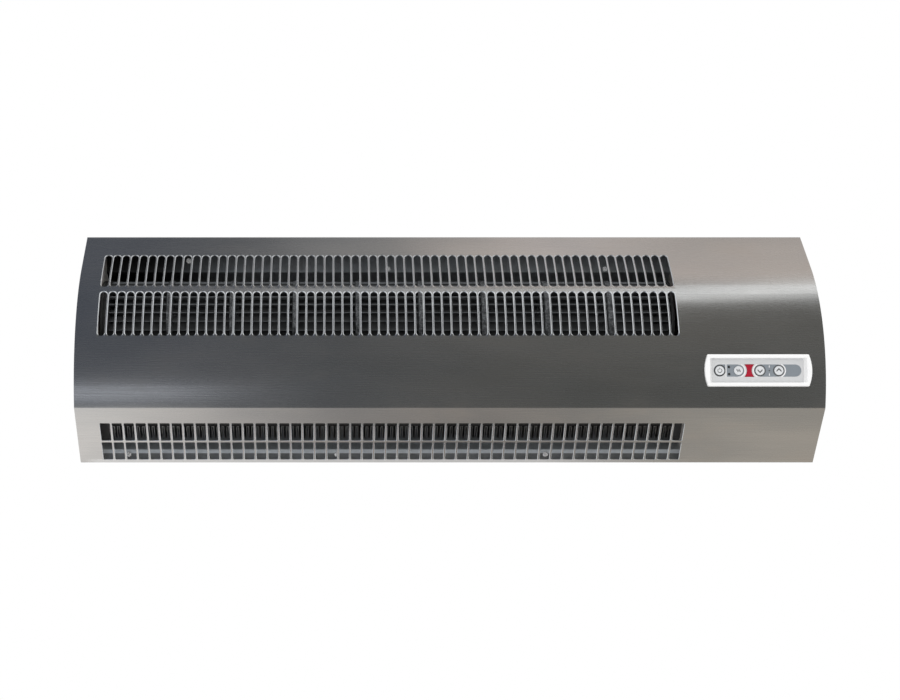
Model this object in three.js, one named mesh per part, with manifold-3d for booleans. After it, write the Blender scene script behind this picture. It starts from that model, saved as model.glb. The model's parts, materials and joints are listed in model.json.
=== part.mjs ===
// A wall-hung air curtain: a stainless hood with two rows of intake slots and a punched outlet,
// a cross-flow impeller with its motor, a finned heater, and a small control panel.
// Millimetres. X runs along the case, the wall is the plane Y = 0 and the front faces -Y. +Z is up,
// and Z = 0 is half way up the case. A side-view point is written as depth from the wall and height.

import * as THREE from 'three';
import { mergeVertices } from 'three/addons/utils/BufferGeometryUtils.js';
import Module from 'manifold-3d';

const wasm = await Module();
wasm.setup();

// ---- driving dimensions ----

const fit = 0.3; // clearance between pieces that touch

// hood
const caseLength = 800;
const caseHeight = 255;
const hoodSheet = 1;
const kinkDepth = 145; // fold above the outlet panel
const outletDrop = 45.5; // that fold above the bottom edge
const bottomDepth = 79.5; // lower end of the outlet panel
const bowTopDepth = 127.7; // where the bowed front runs out into the flat upper part
const bowTopDrop = 47; // that point below the top
const topDepth = 92.7; // upper end of the flat part
const bowRise = 22.6; // rise of the bowed front over its chord
const underRise = 20; // the underside climbs this far towards the wall
const hoodFlange = 17; // flange under the chassis
const endSheet = 1;
const endTab = 14; // tabs of the end plates, along X
const endTabDepth = 12;
const lowTabBehindEdge = 10.5; // middle of the end plates' lower tabs behind the hood's lower edge

// intake slots and outlet cells
const slotPitch = 9.74;
const slotWidth = 7.6;
const slotLength = 55;
const slotMargin = 24; // first slot from the left end of the case
const slotSpare = 10.5; // bare sheet between the last slot and the duct's right end, at least
const lowerRowStart = 78.2; // lower end of each row, along the front from the kink
const upperRowStart = 140.1;
const cellPitch = 12.85;
const cellWidth = 10.65;
const cellHeight = 25;
const cellGap = 3; // the bar between the two rows of cells
const cellMargin = 25.4; // first cell from the left end of the case
const cellStart = 22; // upper edge of the cells, down the outlet panel from the kink

// chassis and air duct
const chassisSheet = 1.2;
const lipHeight = 13; // turned-in lips at the front of the chassis
const chassisTopDepth = 76;
const lipBehindEdge = 2.4; // lower lip of the chassis behind the hood's lower edge
const keyholeFromLeft = 100; // along X, from each end of the case
const keyholeFromRight = 200;
const keyholeHeight = 104;
const keyholeHead = 10; // across
const keyholeNeck = 5; // across
const keyholeRise = 11;
const ductSheet = 0.8;
const cheekSheet = 1;
const leftBay = 21; // inner face of the left cheek from the end of the case
const motorBay = 144; // inner face of the right cheek from the other end
const cellSpare = 2.7; // last outlet cell clear of the right cheek, at least
const cheekTab = 12; // tabs that lie on the chassis, along X
const cheekTabHeight = 24;
const cheekTabsBelow = 58; // middle of the lower tabs under half height
const cheekTabsAbove = 62;
const skinGap = 1.8; // cheeks clear of the hood
const guideStart = 64; // radius of the rear guide at its upper edge and at its last point
const guideEnd = 76;
const guideStartAngle = 10; // degrees back from straight up
const guideEndAngle = 120;
const guideSteps = 8;
const guideLipHeight = 11.6;
const tongueGap = 6; // tip of the tongue clear of the impeller
const tongueAngle = 40; // degrees below the horizontal, towards the front
const tongueReturn = 10;
const tongueFoot = 15;

// impeller
const axisBehindKink = 58;
const axisAboveKink = 109.5;
const impellerRadius = 48;
const bladeCount = 30;
const bladeChord = 12;
const bladeThickness = 1.6;
const bladeLean = 28; // degrees from the radius
const segmentCount = 9;
const ringWidth = 6;
const ringInner = 32;
const discWidth = 3;
const discToCheek = 1.7; // at the bearing end
const driveToCheek = 9.3; // at the motor end
const hubRadius = 13;
const hubLength = 11;

// shafts, bearings and motor
const shaftRadius = 4;
const shaftHoleGap = 4; // round the shaft in the right cheek
const shaftSides = 12;
const roundSides = 16;
const bushRadius = 8;
const bushLength = 8;
const holderRadius = 14;
const holderFlange = 18;
const holderLength = 12;
const motorRadius = 40;
const bellLength = 12;
const statorLength = 40;
const rotorRadius = 23.4;
const airGap = 1.6;
const motorScrewCircle = 31;

// heater
const heaterWidth = 40;
const heaterThickness = 24;
const heaterBehindOutlet = 22;
const heaterCentre = 45.5; // down the outlet panel from the kink
const heaterCore = 5;
const heaterBlock = 10; // end blocks, along X
const finCount = 40;
const finWidth = 4;
const finBase = 1.5;

// control panel
const panelFromEnd = 72; // middle of the panel from the right end of the case
const panelArc = 40.5; // centre, along the front from the kink
const bezelWidth = 114.5;
const bezelHeight = 34.5;
const bezelBow = 3.4; // rise of its bowed short ends
const bezelProud = 3;
const windowWidth = 97.6;
const windowHeight = 25.2;
const collarWall = 2.5;
const collarLength = 10.5;
const fasciaSheet = 1.5;
const fasciaRecess = 5; // below the front of the bezel
const buttonRadius = 4.8;
const buttonProud = 0.8;
const buttonFlange = 6;
const buttonFlangeSheet = 1.2;
const buttonTravel = 0.6;
const buttonOffsets = { button_power: -40.5, button_heat: -20.6, button_down: 2.3, button_up: 22.4 };
const receiverOffset = -9;
const receiverWidth = 8.4;
const receiverHeight = 13;
const receiverWaist = 2;
const lightOffset = -30.6;
const lightSpacing = 7.6;
const lightRadius = 1.1;
const lensProud = 0.2; // lights and receiver window over the fascia
const boardSheet = 1.6;
const switchSize = 6;

// electrical parts on the chassis
const powerBoard = { fromEnd: 75, aboveBottom: 53.5, width: 100, tall: 60, standoff: 6 };
const boardPost = { radius: 3, inset: 6 };
const relay = { width: 20, tall: 28, deep: 16, apart: 48, above: 12 };
const capacitor = { fromEnd: 108, belowTop: 31.5, radius: 14, length: 46 };
const terminals = { fromEnd: 38, belowTop: 49.5, width: 52, tall: 20, deep: 20, poles: 5 };
const terminalWell = { radius: 3, deep: 6 };
const grommet = { fromEnd: 40, depth: 30, bore: 7, neck: 11.7, flange: 13, under: 2 };
const cutout = { radius: 8, length: 9, above: 20 };

// screws
const screw = { shank: 1.6, length: 6, head: 3, headHeight: 2 };
const guideScrewInset = { left: 96, middle: 316, right: 79 }; // from the left, left and right of the duct
const lipScrewInset = { left: 31, middle: 259, right: 148 };
const hoodScrewInset = 9; // from the end of the case
const hoodScrewDepth = 45; // also the middle of the end plates' upper tabs

// ---- materials ----

function paint(color, roughness, metalness) {
  return new THREE.MeshStandardMaterial({ color, roughness, metalness });
}

const stainless = paint(0x8f8e8a, 0.32, 1);
const galvanised = paint(0x8b9094, 0.5, 0.9);
const darkPlastic = paint(0x23252a, 0.55, 0);
const whitePlastic = paint(0xf1f2f1, 0.35, 0);
const palePlastic = paint(0xc9ced2, 0.45, 0);
const redWindow = paint(0xa3142f, 0.15, 0);
const rubber = paint(0x1c1c1c, 0.8, 0);
const steel = paint(0xb4b6b8, 0.3, 1);
const aluminium = paint(0xa9adb1, 0.4, 1);
const bronze = paint(0x9a7440, 0.4, 0.9);
const boardGreen = paint(0x24573a, 0.5, 0);
const ceramic = paint(0xd8d2c4, 0.7, 0);

// ---- working with solids ----

// A closed three.js geometry as a manifold-3d solid.
function solid(geometry) {
  const bare = new THREE.BufferGeometry();
  bare.setAttribute('position', geometry.getAttribute('position'));
  bare.setIndex(geometry.index);
  const merged = mergeVertices(bare, 1e-4);
  const corners = [];
  for (let i = 0; i < merged.index.count; i += 3) {
    const [a, b, c] = [0, 1, 2].map((k) => merged.index.getX(i + k));
    if (a !== b && b !== c && a !== c) corners.push(a, b, c);
  }
  const vertProperties = new Float32Array(merged.attributes.position.array);
  const close = (list) => {
    const triVerts = new Uint32Array(list);
    return new wasm.Manifold(new wasm.Mesh({ numProp: 3, vertProperties, triVerts }));
  };
  const made = close(corners);
  return made.volume() > 0 ? made : close(corners.reverse());
}

// A named mesh with flat faces from a solid.
function piece(name, shape, material) {
  const { vertProperties, triVerts } = shape.getMesh();
  const geometry = new THREE.BufferGeometry();
  geometry.setAttribute('position', new THREE.BufferAttribute(new Float32Array(vertProperties), 3));
  geometry.setIndex(new THREE.BufferAttribute(new Uint32Array(triVerts), 1));
  const flat = geometry.toNonIndexed();
  flat.computeVertexNormals();
  const mesh = new THREE.Mesh(flat, material);
  mesh.name = name;
  return mesh;
}

const joined = (shapes) => shapes.reduce((all, next) => all.add(next));
const cutBy = (body, cutters) => cutters.reduce((left, cutter) => left.subtract(cutter), body);

// A box from its lowest and highest corner.
function box(low, high) {
  const size = high.map((v, i) => v - low[i]);
  const middle = high.map((v, i) => (v + low[i]) / 2);
  return solid(new THREE.BoxGeometry(...size).translate(...middle));
}

// A turned piece along X: pairs of [x, radius], closed on the axis or on itself.
function turned(pairs, sides = roundSides) {
  const profile = pairs.map(([x, radius]) => new THREE.Vector2(radius, x));
  return solid(new THREE.LatheGeometry(profile, sides).rotateZ(-Math.PI / 2));
}

const rod = (x0, x1, radius, sides) => turned([[x0, 0], [x0, radius], [x1, radius], [x1, 0]], sides);
function tube(x0, x1, inner, outer, sides) {
  return turned([[x0, inner], [x0, outer], [x1, outer], [x1, inner], [x0, inner]], sides);
}

// ---- side-view geometry ----

const top = caseHeight / 2;
const halfLength = caseLength / 2;
const cheekLeft = -halfLength + leftBay; // inner faces of the duct's ends
const cheekRight = halfLength - motorBay;
const slotsFrom = -halfLength + slotMargin;
const slotCount = Math.floor((cheekRight - slotSpare - slotsFrom - slotWidth) / slotPitch) + 1;
const cellsFrom = -halfLength + cellMargin;
const cellCount = Math.floor((cheekRight - cellSpare - cellsFrom - cellWidth) / cellPitch) + 1;
const at = (depth, height) => new THREE.Vector2(-depth, height);
const kink = at(kinkDepth, -top + outletDrop);
const bowTop = at(bowTopDepth, top - bowTopDrop);
const bottomEdge = at(bottomDepth, -top);
const chassisBottomDepth = bottomDepth - lipBehindEdge;
const topEdge = at(topDepth, top);

// The bow is one arc from the kink to bowTop.
const chord = bowTop.clone().sub(kink);
const bowRadius = (chord.lengthSq() / 4 + bowRise ** 2) / (2 * bowRise);
const chordUp = chord.clone().normalize();
const chordOut = new THREE.Vector2(-chordUp.y, chordUp.x);
const bowCentre = kink.clone().addScaledVector(chord, 0.5).addScaledVector(chordOut, bowRise - bowRadius);
const bowHalfAngle = Math.asin(chord.length() / 2 / bowRadius);
const bowLength = 2 * bowHalfAngle * bowRadius;

// Point and outward direction on the front skin, a distance along it from the kink.
function onSkin(distance) {
  const along = Math.min(distance, bowLength);
  const angle = -bowHalfAngle + along / bowRadius;
  const out = chordOut.clone().multiplyScalar(Math.cos(angle)).addScaledVector(chordUp, Math.sin(angle));
  const point = bowCentre.clone().addScaledVector(out, bowRadius);
  const rest = distance - along;
  const flat = topEdge.clone().sub(bowTop).normalize();
  if (rest > 0) point.addScaledVector(flat, rest);
  return { point, out };
}

// Point on the outlet panel, down from the kink and inward from its outer face.
const panelDown = bottomEdge.clone().sub(kink).normalize();
const panelOut = new THREE.Vector2(panelDown.y, -panelDown.x);
function onOutlet(down, inward) {
  return kink.clone().addScaledVector(panelDown, down).addScaledVector(panelOut, -inward);
}

// Height, at some depth, of a face that lies inward of the sloping underside.
const underAngle = Math.atan2(underRise, bottomDepth);
function below(depth, inward) {
  return -top + underRise * (1 - depth / bottomDepth) + inward / Math.cos(underAngle);
}

// A line moved sideways by a distance, to the left of its direction, with mitred corners.
function offsetLine(points, distance) {
  return points.map((p, i) => {
    const before = (points[i] ?? p).clone().sub(points[Math.max(i - 1, 0)]).normalize();
    const after = (points[Math.min(i + 1, points.length - 1)] ?? p).clone().sub(p).normalize();
    const first = before.lengthSq() > 0 ? before : after;
    const second = after.lengthSq() > 0 ? after : before;
    const normal = new THREE.Vector2(-first.y - second.y, first.x + second.x).normalize();
    const mitre = normal.dot(new THREE.Vector2(-first.y, first.x));
    return p.clone().addScaledVector(normal, distance / mitre);
  });
}

// A side-view outline carried along X.
function alongX(outline, x0, x1) {
  const axes = new THREE.Matrix4().makeBasis(
    new THREE.Vector3(0, 1, 0),
    new THREE.Vector3(0, 0, 1),
    new THREE.Vector3(1, 0, 0),
  );
  const shape = new THREE.Shape(outline);
  const geometry = new THREE.ExtrudeGeometry(shape, { depth: x1 - x0, bevelEnabled: false });
  return solid(geometry.applyMatrix4(axes).translate(x0, 0, 0));
}

// A folded sheet: its line thickened to the left, or to the right where the thickness is negative.
function folded(line, thickness, x0, x1) {
  return alongX([...line, ...offsetLine(line, thickness).reverse()], x0, x1);
}

// The frame of a spot on the front: x along the case, y up the skin and z outward.
function facing(point, out) {
  const outward = new THREE.Vector3(0, out.x, out.y);
  const along = new THREE.Vector3(1, 0, 0);
  const upward = outward.clone().cross(along);
  const frame = new THREE.Matrix4().makeBasis(along, upward, outward);
  return frame.setPosition(0, point.x, point.y);
}

// Flat outlines punched through a sheet at such a spot.
function punch(outlines, spot, reach) {
  const shapes = outlines.map((outline) => new THREE.Shape(outline));
  const cutter = new THREE.ExtrudeGeometry(shapes, { depth: 2 * reach, bevelEnabled: false });
  return solid(cutter.translate(0, 0, -reach).applyMatrix4(facing(spot.point, spot.out)));
}

const xy = (x, y) => new THREE.Vector2(x, y);
const rectangle = (x, y, width, height) => [
  xy(x - width / 2, y - height / 2),
  xy(x + width / 2, y - height / 2),
  xy(x + width / 2, y + height / 2),
  xy(x - width / 2, y + height / 2),
];

// A slot with rounded ends, upright, with its lower end at y = 0.
function slotOutline(x, width, length) {
  const radius = width / 2;
  const endSteps = 3;
  const outline = [];
  for (const [middle, from] of [[length - radius, 0], [radius, Math.PI]]) {
    for (let i = 0; i <= endSteps; i += 1) {
      const angle = from + (Math.PI * i) / endSteps;
      outline.push(xy(x + radius * Math.cos(angle), middle + radius * Math.sin(angle)));
    }
  }
  return outline;
}

function circleOutline(x, y, radius, sides) {
  return Array.from({ length: sides }, (_, i) => {
    const angle = (2 * Math.PI * i) / sides;
    return xy(x + radius * Math.cos(angle), y + radius * Math.sin(angle));
  });
}

// ---- screws and their holes ----

const screwHole = screw.shank + fit;
const screwSides = 8;
const drillReach = 5;

// A pan-head screw along X with its seat at x = 0 and its shank towards +X.
function makeScrew(name) {
  const shape = turned([
    [-screw.headHeight, 0],
    [-screw.headHeight, screw.head * 0.6],
    [-screw.headHeight * 0.5, screw.head],
    [0, screw.head],
    [0, screw.shank],
    [screw.length, screw.shank],
    [screw.length, 0],
  ], screwSides);
  return piece(name, shape, steel);
}

const drillY = (x, depth, z) => rod(-depth - drillReach, -depth + drillReach, screwHole, screwSides)
  .rotate([0, 0, 90]).translate([x, 0, z]);
const drillTop = (x, depth, radius = screwHole, sides = screwSides) => (
  rod(top - drillReach, top + drillReach, radius, sides).rotate([0, -90, 0]).translate([x, -depth, 0])
);

const onChassis = chassisSheet + fit; // depth at which pieces lie on the chassis

// A block about a point of the chassis, between two depths.
function blockAt(x, height, width, tall, depth0, depth1) {
  return box(
    [x - width / 2, -depth1, height - tall / 2],
    [x + width / 2, -depth0, height + tall / 2],
  );
}

const postAt = (x, height, radius, depth0, depth1) => rod(-depth1, -depth0, radius, screwSides)
  .rotate([0, 0, 90]).translate([x, 0, height]);

// ---- hood ----

const rowMargin = 3;
const lowerRowMiddle = lowerRowStart + slotLength / 2;
const upperRowMiddle = upperRowStart + slotLength / 2;
const betweenRows = (lowerRowStart + slotLength + upperRowStart) / 2;
const panelReach = 20;

// Outer line of the hood, from its back upper edge round the front to its lower flange.
const hoodRearGap = 1;
const skinStops = [
  bowLength,
  betweenRows,
  lowerRowMiddle,
  lowerRowStart - rowMargin,
  panelArc + panelReach,
  panelArc,
  panelArc - panelReach,
];
const hoodLine = [
  at(hoodRearGap, top),
  topEdge,
  ...skinStops.map((stop) => onSkin(stop).point),
  kink,
  bottomEdge,
  at(bottomDepth - hoodFlange, below(bottomDepth - hoodFlange, 0)),
];

const slotRow = (start) => Array.from({ length: slotCount }, (_, i) => {
  const x = slotsFrom + slotWidth / 2 + i * slotPitch;
  return slotOutline(x, slotWidth, slotLength).map((p) => p.add(xy(0, start)));
}).reverse();

const panelX = halfLength - panelFromEnd;
const grommetX = halfLength - grommet.fromEnd;
const collarWidth = windowWidth + 2 * collarWall;
const collarHeight = windowHeight + 2 * collarWall;
const grommetNotch = grommet.flange + 2 * fit;
const hoodScrewX = halfLength - hoodScrewInset;

function makeHood() {
  const shell = folded(hoodLine, hoodSheet, -halfLength, halfLength);
  const reach = 6;
  const cells = [];
  for (let row = 0; row < 2; row += 1) {
    for (let i = 0; i < cellCount; i += 1) {
      const x = cellsFrom + cellWidth / 2 + i * cellPitch;
      const down = cellStart + cellHeight / 2 + row * (cellHeight + cellGap);
      cells.push(rectangle(x, -down, cellWidth, cellHeight));
    }
  }
  const panelHole = rectangle(panelX, 0, collarWidth + 2 * fit, collarHeight + 2 * fit);
  const drills = [-hoodScrewX, hoodScrewX].map((x) => drillTop(x, hoodScrewDepth));
  const notch = box(
    [grommetX - grommetNotch, -grommet.depth - grommetNotch, top - drillReach],
    [grommetX + grommetNotch, drillReach, top + drillReach],
  );
  return cutBy(shell, [
    punch(slotRow(-slotLength / 2), onSkin(lowerRowMiddle), reach),
    punch(slotRow(-slotLength / 2), onSkin(upperRowMiddle), reach),
    punch(cells, { point: kink, out: panelOut }, reach),
    punch([panelHole], onSkin(panelArc), reach),
    notch,
    ...drills,
  ]);
}

// An end plate fills the hood's end. Its upper tab is screwed under the chassis and the hood's top, and
// its lower one lies on the chassis.
const chassisTop = top - hoodSheet - fit;
const chassisInward = hoodSheet + fit;
const tabInward = chassisInward + chassisSheet + fit;

function makeEndPlate(side) {
  const inner = offsetLine(hoodLine, chassisInward).slice(0, -1);
  const outline = [...inner, at(fit, below(fit, chassisInward)), at(fit, chassisTop)];
  const plate = alongX(outline, halfLength - endSheet, halfLength);
  const ends = (middle) => [middle + endTabDepth / 2, middle - endTabDepth / 2];
  const tabLines = [
    ends(hoodScrewDepth).reverse().map((depth) => at(depth, top - tabInward)),
    ends(bottomDepth - lowTabBehindEdge).map((depth) => at(depth, below(depth, tabInward))),
  ];
  const tabs = tabLines.map((line) => folded(line, endSheet, halfLength - endTab, halfLength - endSheet / 2));
  const made = cutBy(joined([plate, ...tabs]), [drillTop(hoodScrewX, hoodScrewDepth)]);
  return side > 0 ? made : made.mirror([1, 0, 0]);
}

// ---- chassis ----

const chassisHalf = halfLength - endSheet - fit;
const threeAcross = ({ left, middle, right }) => [cheekLeft + left, cheekLeft + middle, cheekRight - right];
const guideScrewsX = threeAcross(guideScrewInset);
const lipScrewsX = threeAcross(lipScrewInset);
const lipFoot = below(chassisBottomDepth, chassisInward);
const lipScrewHeight = lipFoot + lipHeight * 0.55;
const guideScrewHeight = chassisTop - lipHeight * 0.65;

function keyhole(x) {
  const reach = 2 * chassisSheet;
  const head = postAt(x, keyholeHeight, keyholeHead / 2, -reach, reach);
  return head.add(blockAt(x, keyholeHeight + keyholeRise / 2, keyholeNeck, keyholeRise, -reach, reach));
}

function makeChassis() {
  const line = [
    at(chassisTopDepth, chassisTop - lipHeight),
    at(chassisTopDepth, chassisTop),
    at(0, chassisTop),
    at(0, below(0, chassisInward)),
    at(chassisBottomDepth, lipFoot),
    at(chassisBottomDepth, lipFoot + lipHeight),
  ];
  const shell = folded(line, -chassisSheet, -chassisHalf, chassisHalf);
  const drills = [
    ...lipScrewsX.map((x) => drillY(x, chassisBottomDepth, lipScrewHeight)),
    ...guideScrewsX.map((x) => drillY(x, chassisTopDepth, guideScrewHeight)),
    ...[-hoodScrewX, hoodScrewX].map((x) => drillTop(x, hoodScrewDepth)),
  ];
  const entry = drillTop(grommetX, grommet.depth, grommet.neck + fit, roundSides);
  const keyholes = [-halfLength + keyholeFromLeft, halfLength - keyholeFromRight].map(keyhole);
  return cutBy(shell, [...drills, entry, ...keyholes]);
}

// ---- air duct ----

const axis = at(kinkDepth - axisBehindKink, kink.y + axisAboveKink);
const fromAxis = (radius, angle) => {
  const turn = THREE.MathUtils.degToRad(angle);
  return xy(axis.x + radius * Math.sin(turn), axis.y + radius * Math.cos(turn));
};
const guideTopDepth = chassisTopDepth + fit + ductSheet;
const guideBottomDepth = chassisBottomDepth + fit + ductSheet;
const guideFoot = below(guideBottomDepth, tabInward);

// Front face of the rear guide, from its upper flange round behind the impeller to its lower lip.
const guideScroll = Array.from({ length: guideSteps + 1 }, (_, i) => {
  const share = i / guideSteps;
  const angle = guideStartAngle + (guideEndAngle - guideStartAngle) * share;
  return fromAxis(guideStart + (guideEnd - guideStart) * share, angle);
});
const guideLine = [
  at(guideTopDepth, top - tabInward),
  at(guideTopDepth, guideScroll[0].y),
  ...guideScroll.slice(1),
  at(guideBottomDepth, guideFoot + guideLipHeight),
  at(guideBottomDepth, guideFoot),
];

function makeRearGuide() {
  const shell = folded(guideLine, ductSheet, cheekLeft + fit, cheekRight - fit);
  return cutBy(shell, [
    ...lipScrewsX.map((x) => drillY(x, guideBottomDepth, lipScrewHeight)),
    ...guideScrewsX.map((x) => drillY(x, guideTopDepth, guideScrewHeight)),
  ]);
}

// The tongue parts the intake from the outlet and stands on the back of the outlet panel.
const tongueTip = fromAxis(impellerRadius + tongueGap, -90 - tongueAngle);
const tongueHeel = onOutlet(cellStart - 1.5, hoodSheet + fit);
const tongueLine = [
  onOutlet(cellStart - 1.5 - tongueFoot, hoodSheet + fit),
  tongueHeel,
  tongueTip,
  fromAxis(impellerRadius + tongueGap + 3, -90 - tongueAngle + tongueReturn),
];
const makeTongue = () => folded(tongueLine, ductSheet, cheekLeft + fit, cheekRight - fit);

// A cheek closes one end of the duct. The chassis lips run through its two notches.
function cheekPlate(x0, x1, holeRadius) {
  const inner = offsetLine(hoodLine, hoodSheet + skinGap).slice(1, -1);
  const inside = chassisSheet + fit;
  const foot = at(inside, below(inside, hoodSheet + skinGap));
  const outline = [at(inside, inner[0].y), ...inner, foot];
  const plate = alongX(outline, x0, x1);
  const notch = (depth, low, high) => box(
    [x0 - 1, -depth - fit, low],
    [x1 + 1, -depth + chassisSheet + fit, high],
  );
  return cutBy(plate, [
    notch(chassisTopDepth, chassisTop - lipHeight - fit, top),
    notch(chassisBottomDepth, -top, lipFoot + lipHeight + fit),
    rod(x0 - 1, x1 + 1, holeRadius, roundSides).translate([0, axis.x, axis.y]),
  ]);
}

// Tabs fold away from the duct and lie on the chassis.
function cheekTabs(x0, x1) {
  return [-cheekTabsBelow, cheekTabsAbove].map((middle) => box(
    [x0, -onChassis - cheekSheet, middle - cheekTabHeight / 2],
    [x1, -onChassis, middle + cheekTabHeight / 2],
  ));
}

const motorScrewAngles = [45, 225];
const motorScrewSpots = motorScrewAngles.map((angle) => {
  const turn = THREE.MathUtils.degToRad(angle);
  return [axis.x + motorScrewCircle * Math.cos(turn), axis.y + motorScrewCircle * Math.sin(turn)];
});
function motorDrills(x0, x1) {
  return motorScrewSpots.map(([y, z]) => rod(x0, x1, screwHole, screwSides).translate([0, y, z]));
}

function makeLeftCheek() {
  const x1 = cheekLeft;
  const plate = cheekPlate(x1 - cheekSheet, x1, holderRadius + fit);
  return joined([plate, ...cheekTabs(x1 - cheekTab, x1 - cheekSheet / 2)]);
}

function makeRightCheek() {
  const x0 = cheekRight;
  const plate = cheekPlate(x0, x0 + cheekSheet, shaftRadius + shaftHoleGap);
  const tabbed = joined([plate, ...cheekTabs(x0 + cheekSheet / 2, x0 + cheekTab)]);
  return cutBy(tabbed, motorDrills(x0 - 1, x0 + cheekSheet + 1));
}

// ---- impeller, built about its own axis along X ----

const impellerStart = cheekLeft + discToCheek + discWidth + fit; // left face of the first ring
const segmentsEnd = cheekRight - driveToCheek - discWidth - fit;
const segmentPitch = (segmentsEnd - impellerStart) / segmentCount;

// One leaning blade, as seen along the axis.
function bladeOutline(index) {
  const round = (2 * Math.PI * index) / bladeCount;
  const lean = THREE.MathUtils.degToRad(bladeLean);
  const outer = impellerRadius - bladeThickness;
  const corners = [
    [0, -bladeThickness / 2],
    [0, bladeThickness / 2],
    [-bladeChord, bladeThickness / 2],
    [-bladeChord, -bladeThickness / 2],
  ];
  return corners.map(([along, across]) => {
    const x = outer + along * Math.cos(lean) - across * Math.sin(lean);
    const y = along * Math.sin(lean) + across * Math.cos(lean);
    return xy(x * Math.cos(round) - y * Math.sin(round), x * Math.sin(round) + y * Math.cos(round));
  });
}

function makeSegment() {
  const blades = [];
  for (let i = 0; i < bladeCount; i += 1) {
    blades.push(alongX(bladeOutline(i), ringWidth / 2, segmentPitch - fit));
  }
  return joined([tube(0, ringWidth, ringInner, impellerRadius, bladeCount), ...blades]);
}

function makeBearingDisc() {
  const x0 = -discWidth - fit;
  return turned([
    [x0, shaftRadius + fit],
    [x0, impellerRadius],
    [-fit, impellerRadius],
    [-fit, hubRadius],
    [hubLength, hubRadius],
    [hubLength, shaftRadius + fit],
    [x0, shaftRadius + fit],
  ], bladeCount);
}

const sleeveInner = shaftRadius + fit;
const sleeveOuter = hubRadius - 3;

function makeDriveDisc() {
  return turned([
    [-hubLength, sleeveOuter + fit],
    [-hubLength, hubRadius],
    [fit, hubRadius],
    [fit, impellerRadius],
    [fit + discWidth, impellerRadius],
    [fit + discWidth, sleeveOuter + fit],
    [-hubLength, sleeveOuter + fit],
  ], bladeCount);
}

// ---- bearings and motor, along X from the outer face of the right cheek ----

const cheekOuter = cheekRight + cheekSheet;
const frontBell = cheekOuter + fit;
const stator = frontBell + bellLength + fit;
const rearBell = stator + statorLength + fit;
const shaftEnd = rearBell + bellLength + 3;
const bearingBore = shaftRadius + 2 * fit;
const bearingOuter = bushRadius + fit;

function makeBearingHolder() {
  const x1 = cheekLeft - cheekSheet;
  return turned([
    [x1 - holderLength + 3, bearingOuter],
    [x1 - holderLength + 3, holderRadius],
    [x1 - 2 - fit, holderRadius],
    [x1 - 2 - fit, holderFlange],
    [x1 - fit, holderFlange],
    [x1 - fit, holderRadius],
    [cheekLeft, holderRadius],
    [cheekLeft, bearingOuter],
    [x1 - holderLength + 3, bearingOuter],
  ]);
}

const makeBush = (x0) => tube(x0, x0 + bushLength, bearingBore, bushRadius, roundSides);

function makeBell(x0) {
  const bell = tube(x0, x0 + bellLength, bearingOuter, motorRadius, roundSides);
  const holes = motorDrills(x0 - 1, x0 + screw.length + 3);
  const drills = holes.map((hole) => hole.translate([0, -axis.x, -axis.y]));
  return x0 === frontBell ? cutBy(bell, drills) : bell;
}

// ---- heater, built flat: x along the case, y up the outlet panel and z outward ----

const heaterInset = heaterBehindOutlet + heaterThickness / 2;
const heaterFrom = cheekLeft + fit + heaterBlock;
const heaterTo = cheekRight - fit - heaterBlock;

// A comb of fins standing on one side of the core.
function makeFins(up) {
  const from = heaterFrom + fit;
  const pitch = (heaterTo - fit - from - finWidth) / (finCount - 1);
  const foot = heaterCore / 2 + fit;
  const tip = heaterWidth / 2;
  const outline = [xy(from, foot)];
  for (let i = finCount - 1; i >= 0; i -= 1) {
    const x = from + i * pitch;
    const rightFoot = i === finCount - 1 ? foot : foot + finBase;
    outline.push(xy(x + finWidth, rightFoot), xy(x + finWidth, tip), xy(x, tip));
    if (i > 0) outline.push(xy(x, foot + finBase));
  }
  const shape = new THREE.Shape(outline.map((p) => xy(p.x, up * p.y)));
  const deep = heaterThickness - 4;
  const geometry = new THREE.ExtrudeGeometry(shape, { depth: deep, bevelEnabled: false });
  return solid(geometry.translate(0, 0, -deep / 2));
}

function makeHeaterBlock(x0) {
  const size = [heaterWidth / 2 + 1, heaterThickness / 2];
  return box([x0, -size[0], -size[1]], [x0 + heaterBlock, size[0], size[1]]);
}

// ---- control panel, built flat about the middle of its window ----

// The bezel's outline: straight long sides and bowed short ends.
function bezelOutline() {
  const h = bezelHeight / 2;
  const radius = (h * h + bezelBow * bezelBow) / (2 * bezelBow);
  const centre = bezelWidth / 2 - radius;
  const sweep = Math.asin(h / radius);
  const steps = 6;
  const outline = [];
  for (const side of [1, -1]) {
    for (let i = 0; i <= steps; i += 1) {
      const angle = sweep * (-1 + (2 * i) / steps);
      outline.push(xy(side * (centre + radius * Math.cos(angle)), side * radius * Math.sin(angle)));
    }
  }
  return outline;
}

// A flat outline given thickness between two heights.
function plate(outline, z0, z1) {
  const shape = new THREE.Shape(outline);
  const geometry = new THREE.ExtrudeGeometry(shape, { depth: z1 - z0, bevelEnabled: false });
  return solid(geometry.translate(0, 0, z0));
}

const panelSpot = onSkin(panelArc);
const panelFrame = facing(panelSpot.point, panelSpot.out);
panelFrame.setPosition(panelX, panelSpot.point.x, panelSpot.point.y);
const fasciaTop = bezelProud - fasciaRecess;
const fasciaBack = fasciaTop - fasciaSheet;
const buttonBack = fasciaBack - fit - buttonFlangeSheet;
const switchTop = buttonBack - buttonTravel - fit;
const boardTop = switchTop - 2.1;
const boardBack = boardTop - boardSheet;

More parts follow.
